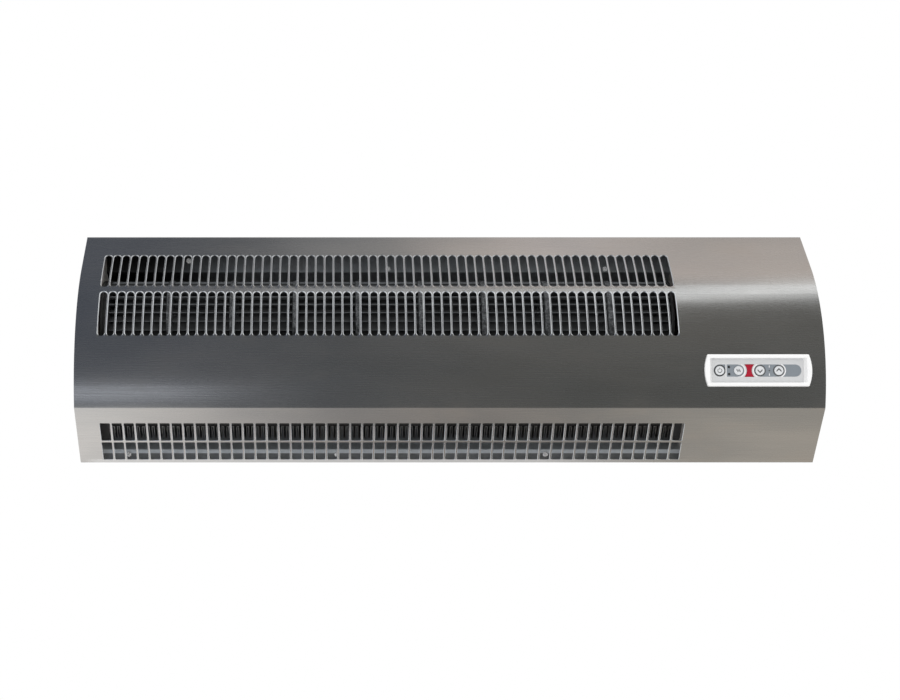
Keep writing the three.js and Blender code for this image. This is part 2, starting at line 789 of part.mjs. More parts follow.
// The back of the bezel follows the bowed skin, and its collar passes through the hood.
function makeBezel() {
  const behind = alongX(offsetLine(hoodLine, -fit), -halfLength, halfLength);
  const toPanel = panelFrame.clone().invert();
  const flange = plate(bezelOutline(), -2 * hoodSheet, bezelProud);
  const body = joined([
    cutBy(flange, [behind.transform(toPanel.elements)]),
    plate(rectangle(0, 0, collarWidth, collarHeight), -collarLength, bezelProud / 2),
  ]);
  return cutBy(body, [plate(rectangle(0, 0, windowWidth, windowHeight), -collarLength - 1, bezelProud + 1)]);
}

// The receiver window is waisted between its two neighbouring buttons.
function receiverOutline(grow) {
  const [w, h] = [receiverWidth / 2 + grow, receiverHeight / 2 + grow];
  const sides = [1, -1].flatMap((side) => [
    xy(side * w, -side * h),
    xy(side * (w - receiverWaist * 0.75), -side * h * 0.5),
    xy(side * (w - receiverWaist), 0),
    xy(side * (w - receiverWaist * 0.75), side * h * 0.5),
    xy(side * w, side * h),
  ]);
  return sides.map((p) => p.add(xy(receiverOffset, 0)));
}

const lights = [['status_light_upper', lightSpacing / 2], ['status_light_lower', -lightSpacing / 2]];

function makeFascia() {
  const size = [windowWidth - 2 * fit, windowHeight - 2 * fit];
  const sheetPiece = plate(rectangle(0, 0, ...size), fasciaBack, fasciaTop);
  const holes = [
    ...Object.values(buttonOffsets).map((x) => circleOutline(x, 0, buttonRadius + fit, roundSides)),
    ...lights.map(([, y]) => circleOutline(lightOffset, y, lightRadius + fit, 8)),
    receiverOutline(fit),
  ];
  return cutBy(sheetPiece, holes.map((outline) => plate(outline, fasciaBack - 1, fasciaTop + 1)));
}

function makeButton() {
  return joined([
    plate(circleOutline(0, 0, buttonRadius, roundSides), buttonBack, fasciaTop + buttonProud),
    plate(circleOutline(0, 0, buttonFlange, roundSides), buttonBack, buttonBack + buttonFlangeSheet),
  ]);
}

function makeBoard() {
  const size = [windowWidth - 2 * fit, windowHeight - 2 * fit];
  const switches = Object.values(buttonOffsets).map(
    (x) => plate(rectangle(x, 0, switchSize, switchSize), boardTop - 0.5, switchTop),
  );
  return joined([plate(rectangle(0, 0, ...size), boardBack, boardTop), ...switches]);
}

// ---- electrical parts ----

function makePowerBoard() {
  const { fromEnd, aboveBottom, width, tall, standoff } = powerBoard;
  const x = halfLength - fromEnd;
  const height = aboveBottom - top;
  const back = onChassis + standoff;
  const front = back + boardSheet;
  const board = blockAt(x, height, width, tall, back, front);
  const posts = [[-1, -1], [1, -1], [-1, 1], [1, 1]].map(([right, up]) => postAt(
    x + right * (width / 2 - boardPost.inset),
    height + up * (tall / 2 - boardPost.inset),
    boardPost.radius,
    onChassis,
    back + boardSheet / 2,
  ));
  const relays = [-1, 1].map((side) => blockAt(
    x + side * relay.apart / 2,
    height + relay.above,
    relay.width,
    relay.tall,
    back + boardSheet / 2,
    front + relay.deep,
  ));
  return joined([board, ...posts, ...relays]);
}

function makeTerminals() {
  const { fromEnd, belowTop, width, tall, deep, poles } = terminals;
  const x = halfLength - fromEnd;
  const height = top - belowTop;
  const front = onChassis + deep;
  const wells = Array.from({ length: poles }, (_, i) => {
    const across = x + ((i + 0.5) / poles - 0.5) * width;
    return postAt(across, height, terminalWell.radius, front - terminalWell.deep, front + 1);
  });
  return cutBy(blockAt(x, height, width, tall, onChassis, front), wells);
}

function makeGrommet() {
  const lower = chassisTop - chassisSheet;
  const ring = turned([
    [top, grommet.bore],
    [top, grommet.flange],
    [chassisTop + fit, grommet.flange],
    [chassisTop + fit, grommet.neck],
    [lower - fit, grommet.neck],
    [lower - fit, grommet.flange],
    [lower - fit - grommet.under, grommet.flange],
    [lower - fit - grommet.under, grommet.bore],
    [top, grommet.bore],
  ]);
  return ring.rotate([0, -90, 0]).translate([grommetX, -grommet.depth, 0]);
}

// ---- the assembly ----

const airCurtain = new THREE.Group();
const add = (name, shape, material, parent = airCurtain) => {
  const mesh = piece(name, shape, material);
  parent.add(mesh);
  return mesh;
};

add('front_hood', makeHood(), stainless);
add('left_end_plate', makeEndPlate(-1), stainless);
add('right_end_plate', makeEndPlate(1), stainless);
add('chassis', makeChassis(), galvanised);
add('rear_guide', makeRearGuide(), galvanised);
add('duct_tongue', makeTongue(), galvanised);
add('left_cheek', makeLeftCheek(), galvanised);
add('right_cheek', makeRightCheek(), galvanised);

// everything on the impeller's axis
const spindle = new THREE.Group();
spindle.position.set(0, axis.x, axis.y);
airCurtain.add(spindle);
add('bearing_disc', makeBearingDisc(), darkPlastic, spindle).position.x = impellerStart;
for (let i = 0; i < segmentCount; i += 1) {
  const segment = add(`impeller_segment_${i + 1}`, makeSegment(), darkPlastic, spindle);
  segment.position.x = impellerStart + i * segmentPitch;
}
add('drive_disc', makeDriveDisc(), darkPlastic, spindle).position.x = segmentsEnd;
const pinStart = cheekLeft - cheekSheet - holderLength + 1;
const pinEnd = impellerStart + hubLength - 1;
add('bearing_pin', rod(pinStart, pinEnd, shaftRadius, shaftSides), steel, spindle);
add('bearing_bush', makeBush(cheekLeft - bushLength - 1), bronze, spindle);
add('bearing_holder', makeBearingHolder(), rubber, spindle);
const sleeveStart = segmentsEnd - hubLength;
const sleeveEnd = segmentsEnd + fit + discWidth;
add('drive_sleeve', tube(sleeveStart, sleeveEnd, sleeveInner, sleeveOuter, roundSides), rubber, spindle);
add('motor_shaft', rod(sleeveStart, shaftEnd, shaftRadius, shaftSides), steel, spindle);
add('motor_front_bell', makeBell(frontBell), aluminium, spindle);
add('motor_front_bush', makeBush(frontBell + 2), bronze, spindle);
const statorInner = rotorRadius + airGap;
const statorEnd = stator + statorLength;
add('motor_stator', tube(stator, statorEnd, statorInner, motorRadius, roundSides), steel, spindle);
const rotorSlack = 2;
add('motor_rotor', tube(
  stator + rotorSlack,
  statorEnd - rotorSlack,
  shaftRadius + fit,
  rotorRadius,
  shaftSides,
), aluminium, spindle);
add('motor_rear_bell', makeBell(rearBell), aluminium, spindle);
add('motor_rear_bush', makeBush(rearBell + 2), bronze, spindle);

// heater, turned to face the outlet
const heater = new THREE.Group();
heater.applyMatrix4(facing(onOutlet(heaterCentre, heaterInset), panelOut));
airCurtain.add(heater);
const coreDeep = heaterThickness / 2 - 3;
add('heater_core', box(
  [heaterFrom + fit, -heaterCore / 2, -coreDeep],
  [heaterTo - fit, heaterCore / 2, coreDeep],
), ceramic, heater);
add('heater_fins_upper', makeFins(1), aluminium, heater);
add('heater_fins_lower', makeFins(-1), aluminium, heater);
add('heater_block_left', makeHeaterBlock(cheekLeft + fit), darkPlastic, heater);
add('heater_block_right', makeHeaterBlock(heaterTo), darkPlastic, heater);

// control panel, on the bowed front
const panel = new THREE.Group();
panel.applyMatrix4(panelFrame);
airCurtain.add(panel);
add('control_bezel', makeBezel(), whitePlastic, panel);
add('control_fascia', makeFascia(), palePlastic, panel);
for (const [name, x] of Object.entries(buttonOffsets)) {
  add(name, makeButton(), whitePlastic, panel).position.x = x;
}
add('receiver_window', plate(receiverOutline(0), fasciaBack, fasciaTop + lensProud), redWindow, panel);
for (const [name, y] of lights) {
  const light = plate(circleOutline(lightOffset, y, lightRadius, 8), boardTop + fit, fasciaTop + lensProud);
  add(name, light, darkPlastic, panel);
}
add('control_board', makeBoard(), boardGreen, panel);

// electrical parts behind the panel
add('power_board', makePowerBoard(), boardGreen);
add('terminal_block', makeTerminals(), ceramic);
add('cable_grommet', makeGrommet(), rubber);
const can = add('motor_capacitor', rod(0, capacitor.length, capacitor.radius, roundSides), whitePlastic);
const canStart = halfLength - capacitor.fromEnd - capacitor.length / 2;
can.position.set(canStart, -onChassis - capacitor.radius, top - capacitor.belowTop);
const cutoutShape = rod(cheekOuter + fit, cheekOuter + fit + cutout.length, cutout.radius, roundSides);
const cutoutSpot = onOutlet(heaterCentre, heaterInset + cutout.above);
add('thermal_cutout', cutoutShape, ceramic).position.set(0, cutoutSpot.x, cutoutSpot.y);

// screws
const screwTowards = (name, x, y, z, turn) => {
  const made = makeScrew(name);
  made.position.set(x, y, z);
  made.rotation.set(...turn);
  airCurtain.add(made);
};
const places = ['left', 'middle', 'right'];
lipScrewsX.forEach((x, i) => screwTowards(
  `lip_screw_${places[i]}`, x, -guideBottomDepth - fit, lipScrewHeight, [0, 0, Math.PI / 2],
));
guideScrewsX.forEach((x, i) => screwTowards(
  `guide_screw_${places[i]}`, x, -guideTopDepth - fit, guideScrewHeight, [0, 0, Math.PI / 2],
));
motorScrewSpots.forEach(([y, z], i) => screwTowards(
  `motor_screw_${i + 1}`, cheekRight - fit, y, z, [0, 0, 0],
));
for (const [side, x] of [['left', -hoodScrewX], ['right', hoodScrewX]]) {
  screwTowards(`hood_screw_${side}`, x, -hoodScrewDepth, top + fit, [0, Math.PI / 2, 0]);
}

export default airCurtain;
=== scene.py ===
import json
from math import asin, cos, dist, hypot, inf, pi, radians, sin, sqrt, tan

import bmesh
import bpy
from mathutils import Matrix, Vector
from mathutils.geometry import tessellate_polygon


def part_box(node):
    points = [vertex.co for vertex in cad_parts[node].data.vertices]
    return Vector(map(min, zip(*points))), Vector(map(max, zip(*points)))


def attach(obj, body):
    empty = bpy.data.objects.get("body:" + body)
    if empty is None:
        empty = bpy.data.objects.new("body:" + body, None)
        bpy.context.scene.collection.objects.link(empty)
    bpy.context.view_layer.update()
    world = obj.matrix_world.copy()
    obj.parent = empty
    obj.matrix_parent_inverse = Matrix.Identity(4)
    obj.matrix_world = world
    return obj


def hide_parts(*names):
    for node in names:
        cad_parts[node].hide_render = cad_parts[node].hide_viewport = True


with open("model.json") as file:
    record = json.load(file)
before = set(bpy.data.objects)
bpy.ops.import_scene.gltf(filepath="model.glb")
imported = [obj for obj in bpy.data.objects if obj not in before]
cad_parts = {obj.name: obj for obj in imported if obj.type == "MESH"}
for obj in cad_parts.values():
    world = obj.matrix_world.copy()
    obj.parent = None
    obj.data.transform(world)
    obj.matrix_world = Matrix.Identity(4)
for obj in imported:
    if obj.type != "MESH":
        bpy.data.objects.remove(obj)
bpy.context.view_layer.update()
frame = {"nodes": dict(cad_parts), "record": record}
print("frame loaded:", len(frame["nodes"]), "nodes")


def link(name, data):
    made = bpy.data.objects.new(name, data)
    bpy.context.scene.collection.objects.link(made)
    return made


view = {
    "lens": 72,
    "film": 36,
    "pitch": 15,                  # degrees, looking up
    "place": (-0.123, -2.012, -0.518),
    "shift": 0.1287,
}


def addCamera():
    data = bpy.data.cameras.new("camera")
    data.lens, data.sensor_width, data.shift_x = view["lens"], view["film"], view["shift"]
    camera = link("camera", data)
    camera.location = view["place"]
    camera.rotation_euler = (radians(90 + view["pitch"]), 0, 0)
    bpy.context.scene.camera = camera


addCamera()


class Wire:  # a socket of a material, for sums written as plain expressions
    def __init__(self, look, socket):
        self.look = look
        self.socket = socket

    def sum(self, operation, first, second):
        return self.look.add("Math", {"operation": operation}, {0: first, 1: second})

    def __add__(self, other):
        return self.sum("ADD", self, other)

    __radd__ = __add__

    def __sub__(self, other):
        return self.sum("SUBTRACT", self, other)

    def __rsub__(self, other):
        return self.sum("SUBTRACT", other, self)

    def __mul__(self, other):
        return self.sum("MULTIPLY", self, other)

    __rmul__ = __mul__

    def __abs__(self):
        return self.look.add("Math", {"operation": "ABSOLUTE"}, {0: self})

    def output(self, index):  # another output of the same node
        return Wire(self.look, self.socket.node.outputs[index])


class Look:  # one material, built on the Principled shader
    def __init__(self, name, **constants):
        self.material = bpy.data.materials.new(name)
        self.material.use_nodes = True
        self.tree = self.material.node_tree
        self.shader = self.tree.nodes["Principled BSDF"]
        self.set(**constants)

    def feed(self, socket, value):
        if isinstance(value, Wire):
            self.tree.links.new(value.socket, socket)
        elif isinstance(value, tuple) and len(value) == 3 and socket.type == "RGBA":
            socket.default_value = (*value, 1)
        else:
            socket.default_value = value

    def add(self, kind, settings=None, feeds=None, output=0):
        node = self.tree.nodes.new("ShaderNode" + kind)
        for key, value in (settings or {}).items():
            if key == "stops":
                self.setStops(node.color_ramp.elements, value)
            else:
                setattr(node, key, value)
        for key, value in (feeds or {}).items():
            self.feed(node.inputs[key], value)
        return Wire(self, node.outputs[output])

    def setStops(self, elements, stops):
        while len(elements) < len(stops):
            elements.new(1)
        for element, (position, color) in zip(elements, stops):
            element.position = position
            element.color = (*color, 1)

    def set(self, **sockets):
        for socket, value in sockets.items():
            self.feed(self.shader.inputs[socket.replace("_", " ")], value)

    def place(self, stretch=(1, 1, 1)):  # the surface point in metres, stretched
        point = self.add("TexCoord", output=3)
        return self.add("Mapping", {}, {"Vector": point, "Scale": stretch})

    def axis(self, index):  # the surface point's x, y or z
        return self.add("SeparateXYZ", {}, {0: self.place()}, index)

    def noise(self, stretch, detail=3, roughness=0.5, distortion=0):
        feeds = {
            "Vector": self.place(stretch if isinstance(stretch, tuple) else (stretch,) * 3),
            "Scale": 1,
            "Detail": detail,
            "Roughness": roughness,
            "Distortion": distortion,
        }
        return self.add("TexNoise", {}, feeds)

    def mask(self, factor, low, high):  # 0 below low, 1 above high
        feeds = {"Value": factor, "From Min": low, "From Max": high}
        return self.add("MapRange", {"clamp": True}, feeds)

    def mix(self, factor, first, second):
        return self.add("Mix", {"data_type": "RGBA"}, {0: factor, 6: first, 7: second}, output=2)

    def finish(self, base, roughness, height, strength, distance):
        bump = self.add("Bump", {}, {"Height": height, "Strength": strength, "Distance": distance})
        self.set(Base_Color=base, Roughness=roughness, Normal=bump)
        return self.material


def grey(level, warm=0.0):  # a colour from its 0..255 screen level, warmer or cooler
    linear = (level / 255) ** 2.2
    return (linear * (1 + warm), linear, linear * (1 - warm))


steel = {
    "dark": grey(150, -0.02),
    "light": grey(170, 0.02),
    "tint": grey(162, 0.05),
    "streak": grey(128),
    "grain": (14, 2600, 2600),    # to the metre, along and across
    "fineGrain": (60, 9000, 9000),
    "clouds": (2.4, 7, 7),
    "smears": (11, 26, 26),
    "rough": 0.27,
    "depth": 0.00006,
    "lip": grey(192, 0.01),       # painted highlight: a pale strip along the hood's lower edge, under the outlet
    "highlightMetallic": 0.15,
    "highlightLeft": (-0.395, -0.38),
    "highlightRight": (0.27, 0.1),
    "highlightDepth": (-0.0785, -0.0795),
    "lipHeight": (-0.1245, -0.1249),
}


def brushedSteel(name):
    look = Look(name)
    streaks = look.noise(steel["grain"], 4, 0.62)
    fine = look.noise(steel["fineGrain"], 2)
    clouds = look.noise(steel["clouds"], 3, 0.5, 0.4)
    smears = look.noise(steel["smears"], 4, 0.6)
    base = look.mix(look.mask(clouds, 0.36, 0.66), steel["dark"], steel["light"])
    base = look.mix(look.mask(smears, 0.55, 0.75) * 0.5, base, steel["tint"])
    base = look.mix(look.mask(streaks, 0.3, 0.72) * 0.17, base, steel["streak"])
    across = look.axis(0)
    # painted highlight: a pale, less metallic strip on the hood's lower front fold, fading out towards the right
    lip = look.mask(across, *steel["highlightLeft"]) * look.mask(across, *steel["highlightRight"])
    lip = lip * look.mask(across.output(1), *steel["highlightDepth"])
    lip = lip * look.mask(across.output(2), *steel["lipHeight"])
    look.set(Metallic=1 - lip * (1 - steel["highlightMetallic"]))
    base = look.mix(lip, base, steel["lip"])
    roughness = steel["rough"] + (streaks - 0.5) * 0.16 + (smears - 0.5) * 0.12
    return look.finish(base, roughness, streaks * 0.6 + fine * 0.4, 0.16, steel["depth"])


def sheetZinc(name, level=150, warm=-0.02, shadedEnd=None, metallic=0.85):
    look = Look(name, Metallic=metallic)
    spangle = look.add("TexVoronoi", {}, {"Vector": look.place((160, 160, 160)), "Scale": 1}, 1)
    tone = look.add("SeparateColor", {}, {"Color": spangle})
    clouds = look.noise(30, 4, 0.6)
    dust = look.noise((9, 9, 22), 5, 0.65)
    dusty = look.mask(dust, 0.5, 0.8)
    base = look.mix(tone, grey(level - 8, warm), grey(level + 8, warm))
    base = look.mix(dusty * 0.6, base, grey(level - 40, 0.03))
    # painted shade: the sheet turns darker towards its left end, with a ragged edge
    if shadedEnd:
        unshaded = look.mask(look.axis(0) + (dust - 0.5) * 0.06, *shadedEnd)
        base = look.mix(unshaded, grey(level * 0.35), base)
    roughness = 0.42 + (clouds - 0.5) * 0.25 + dusty * 0.2
    return look.finish(base, roughness, clouds, 0.1, 0.0002)


def moulded(name, color, roughness, worn, grainScale=1400, metallic=0.0):
    look = Look(name, Metallic=metallic, Specular_IOR_Level=0.45)
    grain = look.noise(grainScale, 2)
    clouds = look.noise(42, 4, 0.55)
    dust = look.noise((120, 120, 60), 5, 0.7)
    base = look.mix(look.mask(clouds, 0.35, 0.7) * 0.45, color, worn)
    base = look.mix(look.mask(dust, 0.56, 0.82) * 0.5, base, worn)
    roughness = roughness + (clouds - 0.5) * 0.18 + (grain - 0.5) * 0.08
    return look.finish(base, roughness, grain, 0.12, 0.00008)


def rimHighlight(name, tone, upperTone, between):  # painted highlight on the rims of the holes, duller on the upper row of slots
    look = Look(name, Metallic=1.0)
    grain = look.noise(900, 2)
    clouds = look.noise(42, 4, 0.55)
    base = look.mix(look.mask(look.axis(2), *between), tone, upperTone)
    base = look.mix(look.mask(clouds, 0.35, 0.7) * 0.3, base, grey(190, -0.03))
    roughness = 0.34 + (clouds - 0.5) * 0.18 + (grain - 0.5) * 0.08
    return look.finish(base, roughness, grain, 0.12, 0.00008)


def speckled(name):  # dusty mottled moulding
    look = Look(name)
    spots = look.noise(620, 3, 0.7)
    patches = look.noise(220, 4, 0.6)
    base = look.mix(look.mask(spots, 0.4, 0.62), grey(62, -0.06), grey(122, -0.05))
    base = look.mix(look.mask(patches, 0.48, 0.62) * 0.8, base, grey(46, -0.06))
    return look.finish(base, 0.5 + (spots - 0.5) * 0.3, spots, 0.2, 0.0002)


def boardGreen(name):
    look = Look(name)
    tracks = look.add("TexBrick", {}, {
        "Vector": look.place((260, 260, 260)),
        "Scale": 1,
        "Color1": (0.02, 0.13, 0.06),
        "Color2": (0.015, 0.1, 0.05),
        "Mortar": (0.05, 0.26, 0.12),
        "Mortar Size": 0.03,
    })
    look.set(Base_Color=tracks, Roughness=0.34 + (look.noise(70) - 0.5) * 0.2)
    return look.material


# painted shade: a darker copy of the sheet zinc, for the duct tongue
zincTongueShade = sheetZinc("shaded sheet zinc", 92, -0.04)
# the guide's zinc, with painted shade towards its left end
zincGuide = sheetZinc("guide zinc", 186, -0.05, (-0.32, -0.22))
# painted light: a paler copy of the guide's zinc, for a band of it low down
zincLitBand = sheetZinc("lit sheet zinc band", 206, -0.05)
# painted shade: a darker copy of the guide's zinc, for its lip
zincLipShade = sheetZinc("shaded lip zinc", 148, -0.02)
# painted light: a brighter, warmer, less metallic copy of the sheet zinc, for the end cheeks
zincCheekLit = sheetZinc("lit cheek zinc", 200, 0.05, metallic=0.2)
# painted highlight: the hole rims in a brighter metal, duller on the upper row
edgeHighlight = rimHighlight("punched edge", grey(226, -0.03), grey(190, -0.03), (0.05, 0.057))
ringSpeckle = speckled("impeller ring")
# name, colour, roughness, worn colour, grains to the metre, metal
# painted highlight: a bright, part-metal copy for the guide's lower fold
foldHighlight = moulded("burnished fold", grey(232, -0.05), 0.4, grey(216, -0.05), 700, 0.6)
# painted shade: a dark copy for the heater core
tubeShade = moulded("shaded tube", grey(46), 0.55, grey(62), 900, 0.5)
# painted highlight: a lighter copy of the impeller moulding, for the blades' outer edges
bladeHighlight = moulded("blade edge highlight", grey(116, -0.06), 0.4, grey(96, -0.05), 900)
# painted highlight: near-white, barely metallic rivet heads
rivetHighlight = moulded("rivet highlight", grey(254), 0.3, grey(246), 1200, 0.15)
# painted highlight: near-white screw heads, less metallic than plated steel
screwHighlight = moulded("screw highlight", grey(253), 0.22, grey(240, 0.01), 1200, 0.6)
# painted shade: a darker copy of the impeller moulding, for the end discs and the first ring
discShade = moulded("shaded impeller end disc", grey(44, -0.03), 0.5, grey(60), 900)
filmBlue = moulded("blue film", grey(143, -0.11), 0.36, grey(137, -0.11), 2600)
printDark = moulded("dark print", grey(70, -0.04), 0.4, grey(78, -0.04), 2600)
printWhite = moulded("white print", grey(242), 0.4, grey(236), 2600)
ringDark = moulded("button ring", grey(90, -0.05), 0.5, grey(98, -0.05), 2600)
capWhite = moulded("button cap", grey(226, -0.02), 0.38, grey(218, -0.02), 1800)
looks = {  # the finish of each material slot
    "stainless": brushedSteel("brushed stainless"),
    "galvanised": sheetZinc("sheet zinc"),
    "impeller_plastic": moulded("impeller moulding", grey(66, -0.04), 0.42, grey(96, -0.02), 900),
    "white_plastic": moulded("white moulding", grey(251), 0.34, grey(246, 0.01)),
    "pale_plastic": moulded("pale moulding", grey(214, -0.01), 0.42, grey(206)),
    "dark_plastic": moulded("dark moulding", grey(48), 0.55, grey(66)),
    "red_window": moulded("red window", (0.43, 0.014, 0.036), 0.12, (0.36, 0.012, 0.03), 2200),
    "light_plastic": moulded("dark lens", grey(52, -0.05), 0.15, grey(60)),
    "rubber": moulded("rubber", grey(38), 0.72, grey(56), 700),
    "steel": moulded("plated steel", grey(196, 0.01), 0.24, grey(168, 0.03), 1200, 1.0),
    "aluminium": moulded("aluminium", grey(186, -0.01), 0.36, grey(160), 800, 1.0),
    "bronze": moulded("sintered bronze", (0.3, 0.17, 0.06), 0.4, (0.2, 0.11, 0.04), 1500, 1.0),
    "board": boardGreen("circuit board"),
    "ceramic": moulded("ceramic", grey(206, 0.06), 0.6, grey(188, 0.08), 500),
}
print("materials made:", len(bpy.data.materials))

# painted shade on the heater core, painted light on the cheeks
ownFinish = {"heater_core": tubeShade, "left_cheek": zincCheekLit, "right_cheek": zincCheekLit}
slotOf = {row["node"]: row["material_slot"] for row in frame["record"]["subparts"]}
bodies = frame["record"]["behaviour"]["bodies"]
bodyOf = {node: body for body, nodes in bodies.items() for node in nodes}
for node, slot in slotOf.items():
    carried = frame["nodes"][node]
    carried.data.materials.clear()
    carried.data.materials.append(ownFinish.get(node, looks[slot]))


tiny = 1e-7                       # metres, less than any real difference of place


def spread(low, high, count):
    return [low + (high - low) * i / count for i in range(count + 1)]


def turned(point, angle):
    x, y = point
    return x * cos(angle) - y * sin(angle), x * sin(angle) + y * cos(angle)


def arc(radius, start, end, count, middle=(0, 0)):
    x, y = middle
    return [(x + radius * cos(a), y + radius * sin(a)) for a in spread(start, end, count)]


def circle(radius, count, middle=(0, 0)):
    return arc(radius, 0, 2 * pi, count, middle)[:-1]


class Shape:  # points and faces gathered into one mesh
    def __init__(self):
        self.points, self.faces, self.slots = [], [], []

    def place(self, point):
        self.points.append(Vector(point))
        return len(self.points) - 1

    def ring(self, points):
        return [self.place(p) for p in points]

    def face(self, corners, slot=0):
        if len(set(corners)) > 2:
            self.faces.append(tuple(dict.fromkeys(corners)))
            self.slots.append(slot)

    def bridge(self, first, second, slot=0):
        for i in range(len(first)):
            j = (i + 1) % len(first)
            self.face((first[i], first[j], second[j], second[i]), slot)

    def loft(self, rings):  # closed at both ends
        made = [self.ring(r) for r in rings]
        for first, second in zip(made, made[1:]):
            self.bridge(first, second)
        self.face(made[0][::-1])
        self.face(made[-1])

    def piece(self, node, ending, *finishes, sharp=30, slot=None):  # takes the place of a node of its name
        name = f"{node}_{ending}"
        slot = slot or slotOf[node]
        mesh = bpy.data.meshes.new(name)
        mesh.from_pydata([tuple(p) for p in self.points], [], self.faces)
        for index, side in zip(self.slots, mesh.polygons):
            side.material_index = index
        joined = bmesh.new()
        joined.from_mesh(mesh)
        bmesh.ops.remove_doubles(joined, verts=joined.verts, dist=2 * tiny)
        bmesh.ops.recalc_face_normals(joined, faces=joined.faces)
        joined.to_mesh(mesh)
        joined.free()
        for finish in finishes or (looks[slot],):
            mesh.materials.append(finish)
        mesh.shade_smooth()
        mesh.set_sharp_from_angle(angle=radians(sharp))
        piece = link(name, mesh)
        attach(piece, bodyOf.get(node, "casing"))
        if node in slotOf:
            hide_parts(node)


def filleted(points, radius, steps=5):  # a side-view line with its corners rounded
    points = [Vector(p) for p in points]
    line = [points[0]]
    for before, corner, after in zip(points, points[1:], points[2:]):
        back, ahead = before - corner, after - corner
        half = back.angle(ahead) / 2
        reach = min(radius / tan(half), back.length * 0.45, ahead.length * 0.45)
        back, ahead = back.normalized(), ahead.normalized()
        middle = corner + (back + ahead).normalized() * (reach / cos(half))
        start, end = corner + back * reach - middle, corner + ahead * reach - middle
        sweep = -start.angle_signed(end)
        line += [middle + Vector(turned(start, sweep * i / steps)) for i in range(steps + 1)]
    return line + [points[-1]]


def offsetLine(line, distance):  # to the left of its direction, with mitred corners
    moved = []
    for i, p in enumerate(line):
        first = (line[i] - line[i - 1] if i else line[1] - line[0]).normalized()
        second = (line[i + 1] - line[i] if i < len(line) - 1 else first).normalized()
        normal = Vector((-first.y - second.y, first.x + second.x)).normalized()
        moved.append(p + normal * (distance / normal.dot(Vector((-first.y, first.x)))))
    return moved


def sideView(a, b, height):  # a side-view point carried along X
    return (height, a, b)


def ribbon(shape, line, thickness, at, low, high, gap=None):  # a bent sheet between two heights
    back = offsetLine(line, thickness)
    rings = [shape.ring([at(p.x, p.y, height) for p in line + back[::-1]]) for height in (low, high)]
    count = len(line)
    for i in range(2 * count):
        j = (i + 1) % (2 * count)
        if gap is None or i not in (gap, 2 * count - 2 - gap):
            shape.face((rings[0][i], rings[0][j], rings[1][j], rings[1][i]))
    for ring in rings:
        for i in range(count - 1):
            shape.face((ring[i], ring[i + 1], ring[2 * count - 2 - i], ring[2 * count - 1 - i]))
    return back


def holedFace(shape, loops, height, at, slot=0):  # the first loop is the outline, the others are holes
    rings = [shape.ring([at(x, y, height) for x, y in loop]) for loop in loops]
    ids = [i for ring in rings for i in ring]
    for corners in tessellate_polygon([[Vector((x, y, 0)) for x, y in loop] for loop in loops]):
        shape.face(tuple(ids[k] for k in corners), slot)
    return rings


def plate(shape, loops, low, high, at, slot=0):
    lower, upper = (holedFace(shape, loops, height, at, slot) for height in (low, high))
    for first, second in zip(lower, upper):
        shape.bridge(first, second, slot)


def acrossOf(along):  # a line's direction and the two across it
    along = Vector(along).normalized()
    side = along.orthogonal().normalized()
    return along, side, along.cross(side)


def revolve(shape, pairs, place, along, count, slot=0):  # (height, radius) pairs turned about a line
    along, side, other = acrossOf(along)
    rings = []
    for height, radius in pairs:
        middle = Vector(place) + along * height
        if radius < tiny:
            rings.append([shape.place(middle)] * count)
        else:
            rings.append(shape.ring([middle + side * x + other * y for x, y in circle(radius, count)]))
    for first, second in zip(rings, rings[1:]):
        shape.bridge(first, second, slot)


hood = {
    "kinkDepth": 0.145,
    "outletDrop": 0.0455,
    "bottomDepth": 0.0795,
    "bowTopDepth": 0.1277,
    "bowTopDrop": 0.047,
    "topDepth": 0.0927,
    "bowRise": 0.0226,
    "underRise": 0.02,            # the underside climbs this far towards the wall
    "flange": 0.017,
    "rear": 0.001,
    "sheet": 0.001,
    "foldRadius": 0.0032,
    "tightFold": 0.0016,
    "foldSteps": 4,
    "slotRows": (0.0782, 0.1401),  # their lower ends, up from the kink
    "slotCount": 64,
    "slotPitch": 0.00974,
    "slotWidth": 0.0076,
    "slotHeight": 0.055,
    "slotCorner": 0.0038,
    "slotSteps": (4, 7),          # along a corner and along a side
    "slotMargin": 0.024,
    "slotEdge": 0.0008,           # rolled edge of the punched holes
    "slotFade": 5,                # points over which it begins, at a hole's lower end
    "cellRows": (0.022, 0.05),    # their upper ends, down from the kink
    "cellCount": 49,
    "cellPitch": 0.01285,
    "cellWidth": 0.01065,
    "cellHeight": 0.025,
    "cellCorner": 0.0008,
    "cellSteps": (2, 1),
    "cellMargin": 0.0254,
    "cellEdge": 0.0004,
    "cellFade": 1,
    "highlighted": 0.0003,          # edges rolled in further than this take the painted highlight
    "window": (0.0405, 0.0154),   # middle and half height of the panel's window, up from the kink
    "windowGap": 0.0031,
    "notchGap": 0.0006,
    "slotBorder": 0.003,          # mesh lines beside the rows, the folds and the window
    "cellBorders": (0.0015, 0.0012),
    "clear": (0.006, 0.004),
    "windowClear": (0.012, 0.044),
    "change": -0.012,             # where the sheet's mesh changes from slots to cells
}
caseLow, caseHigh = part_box("left_end_plate")[0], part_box("right_end_plate")[1]
caseBottom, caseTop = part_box("front_hood")[0].z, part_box("front_hood")[1].z


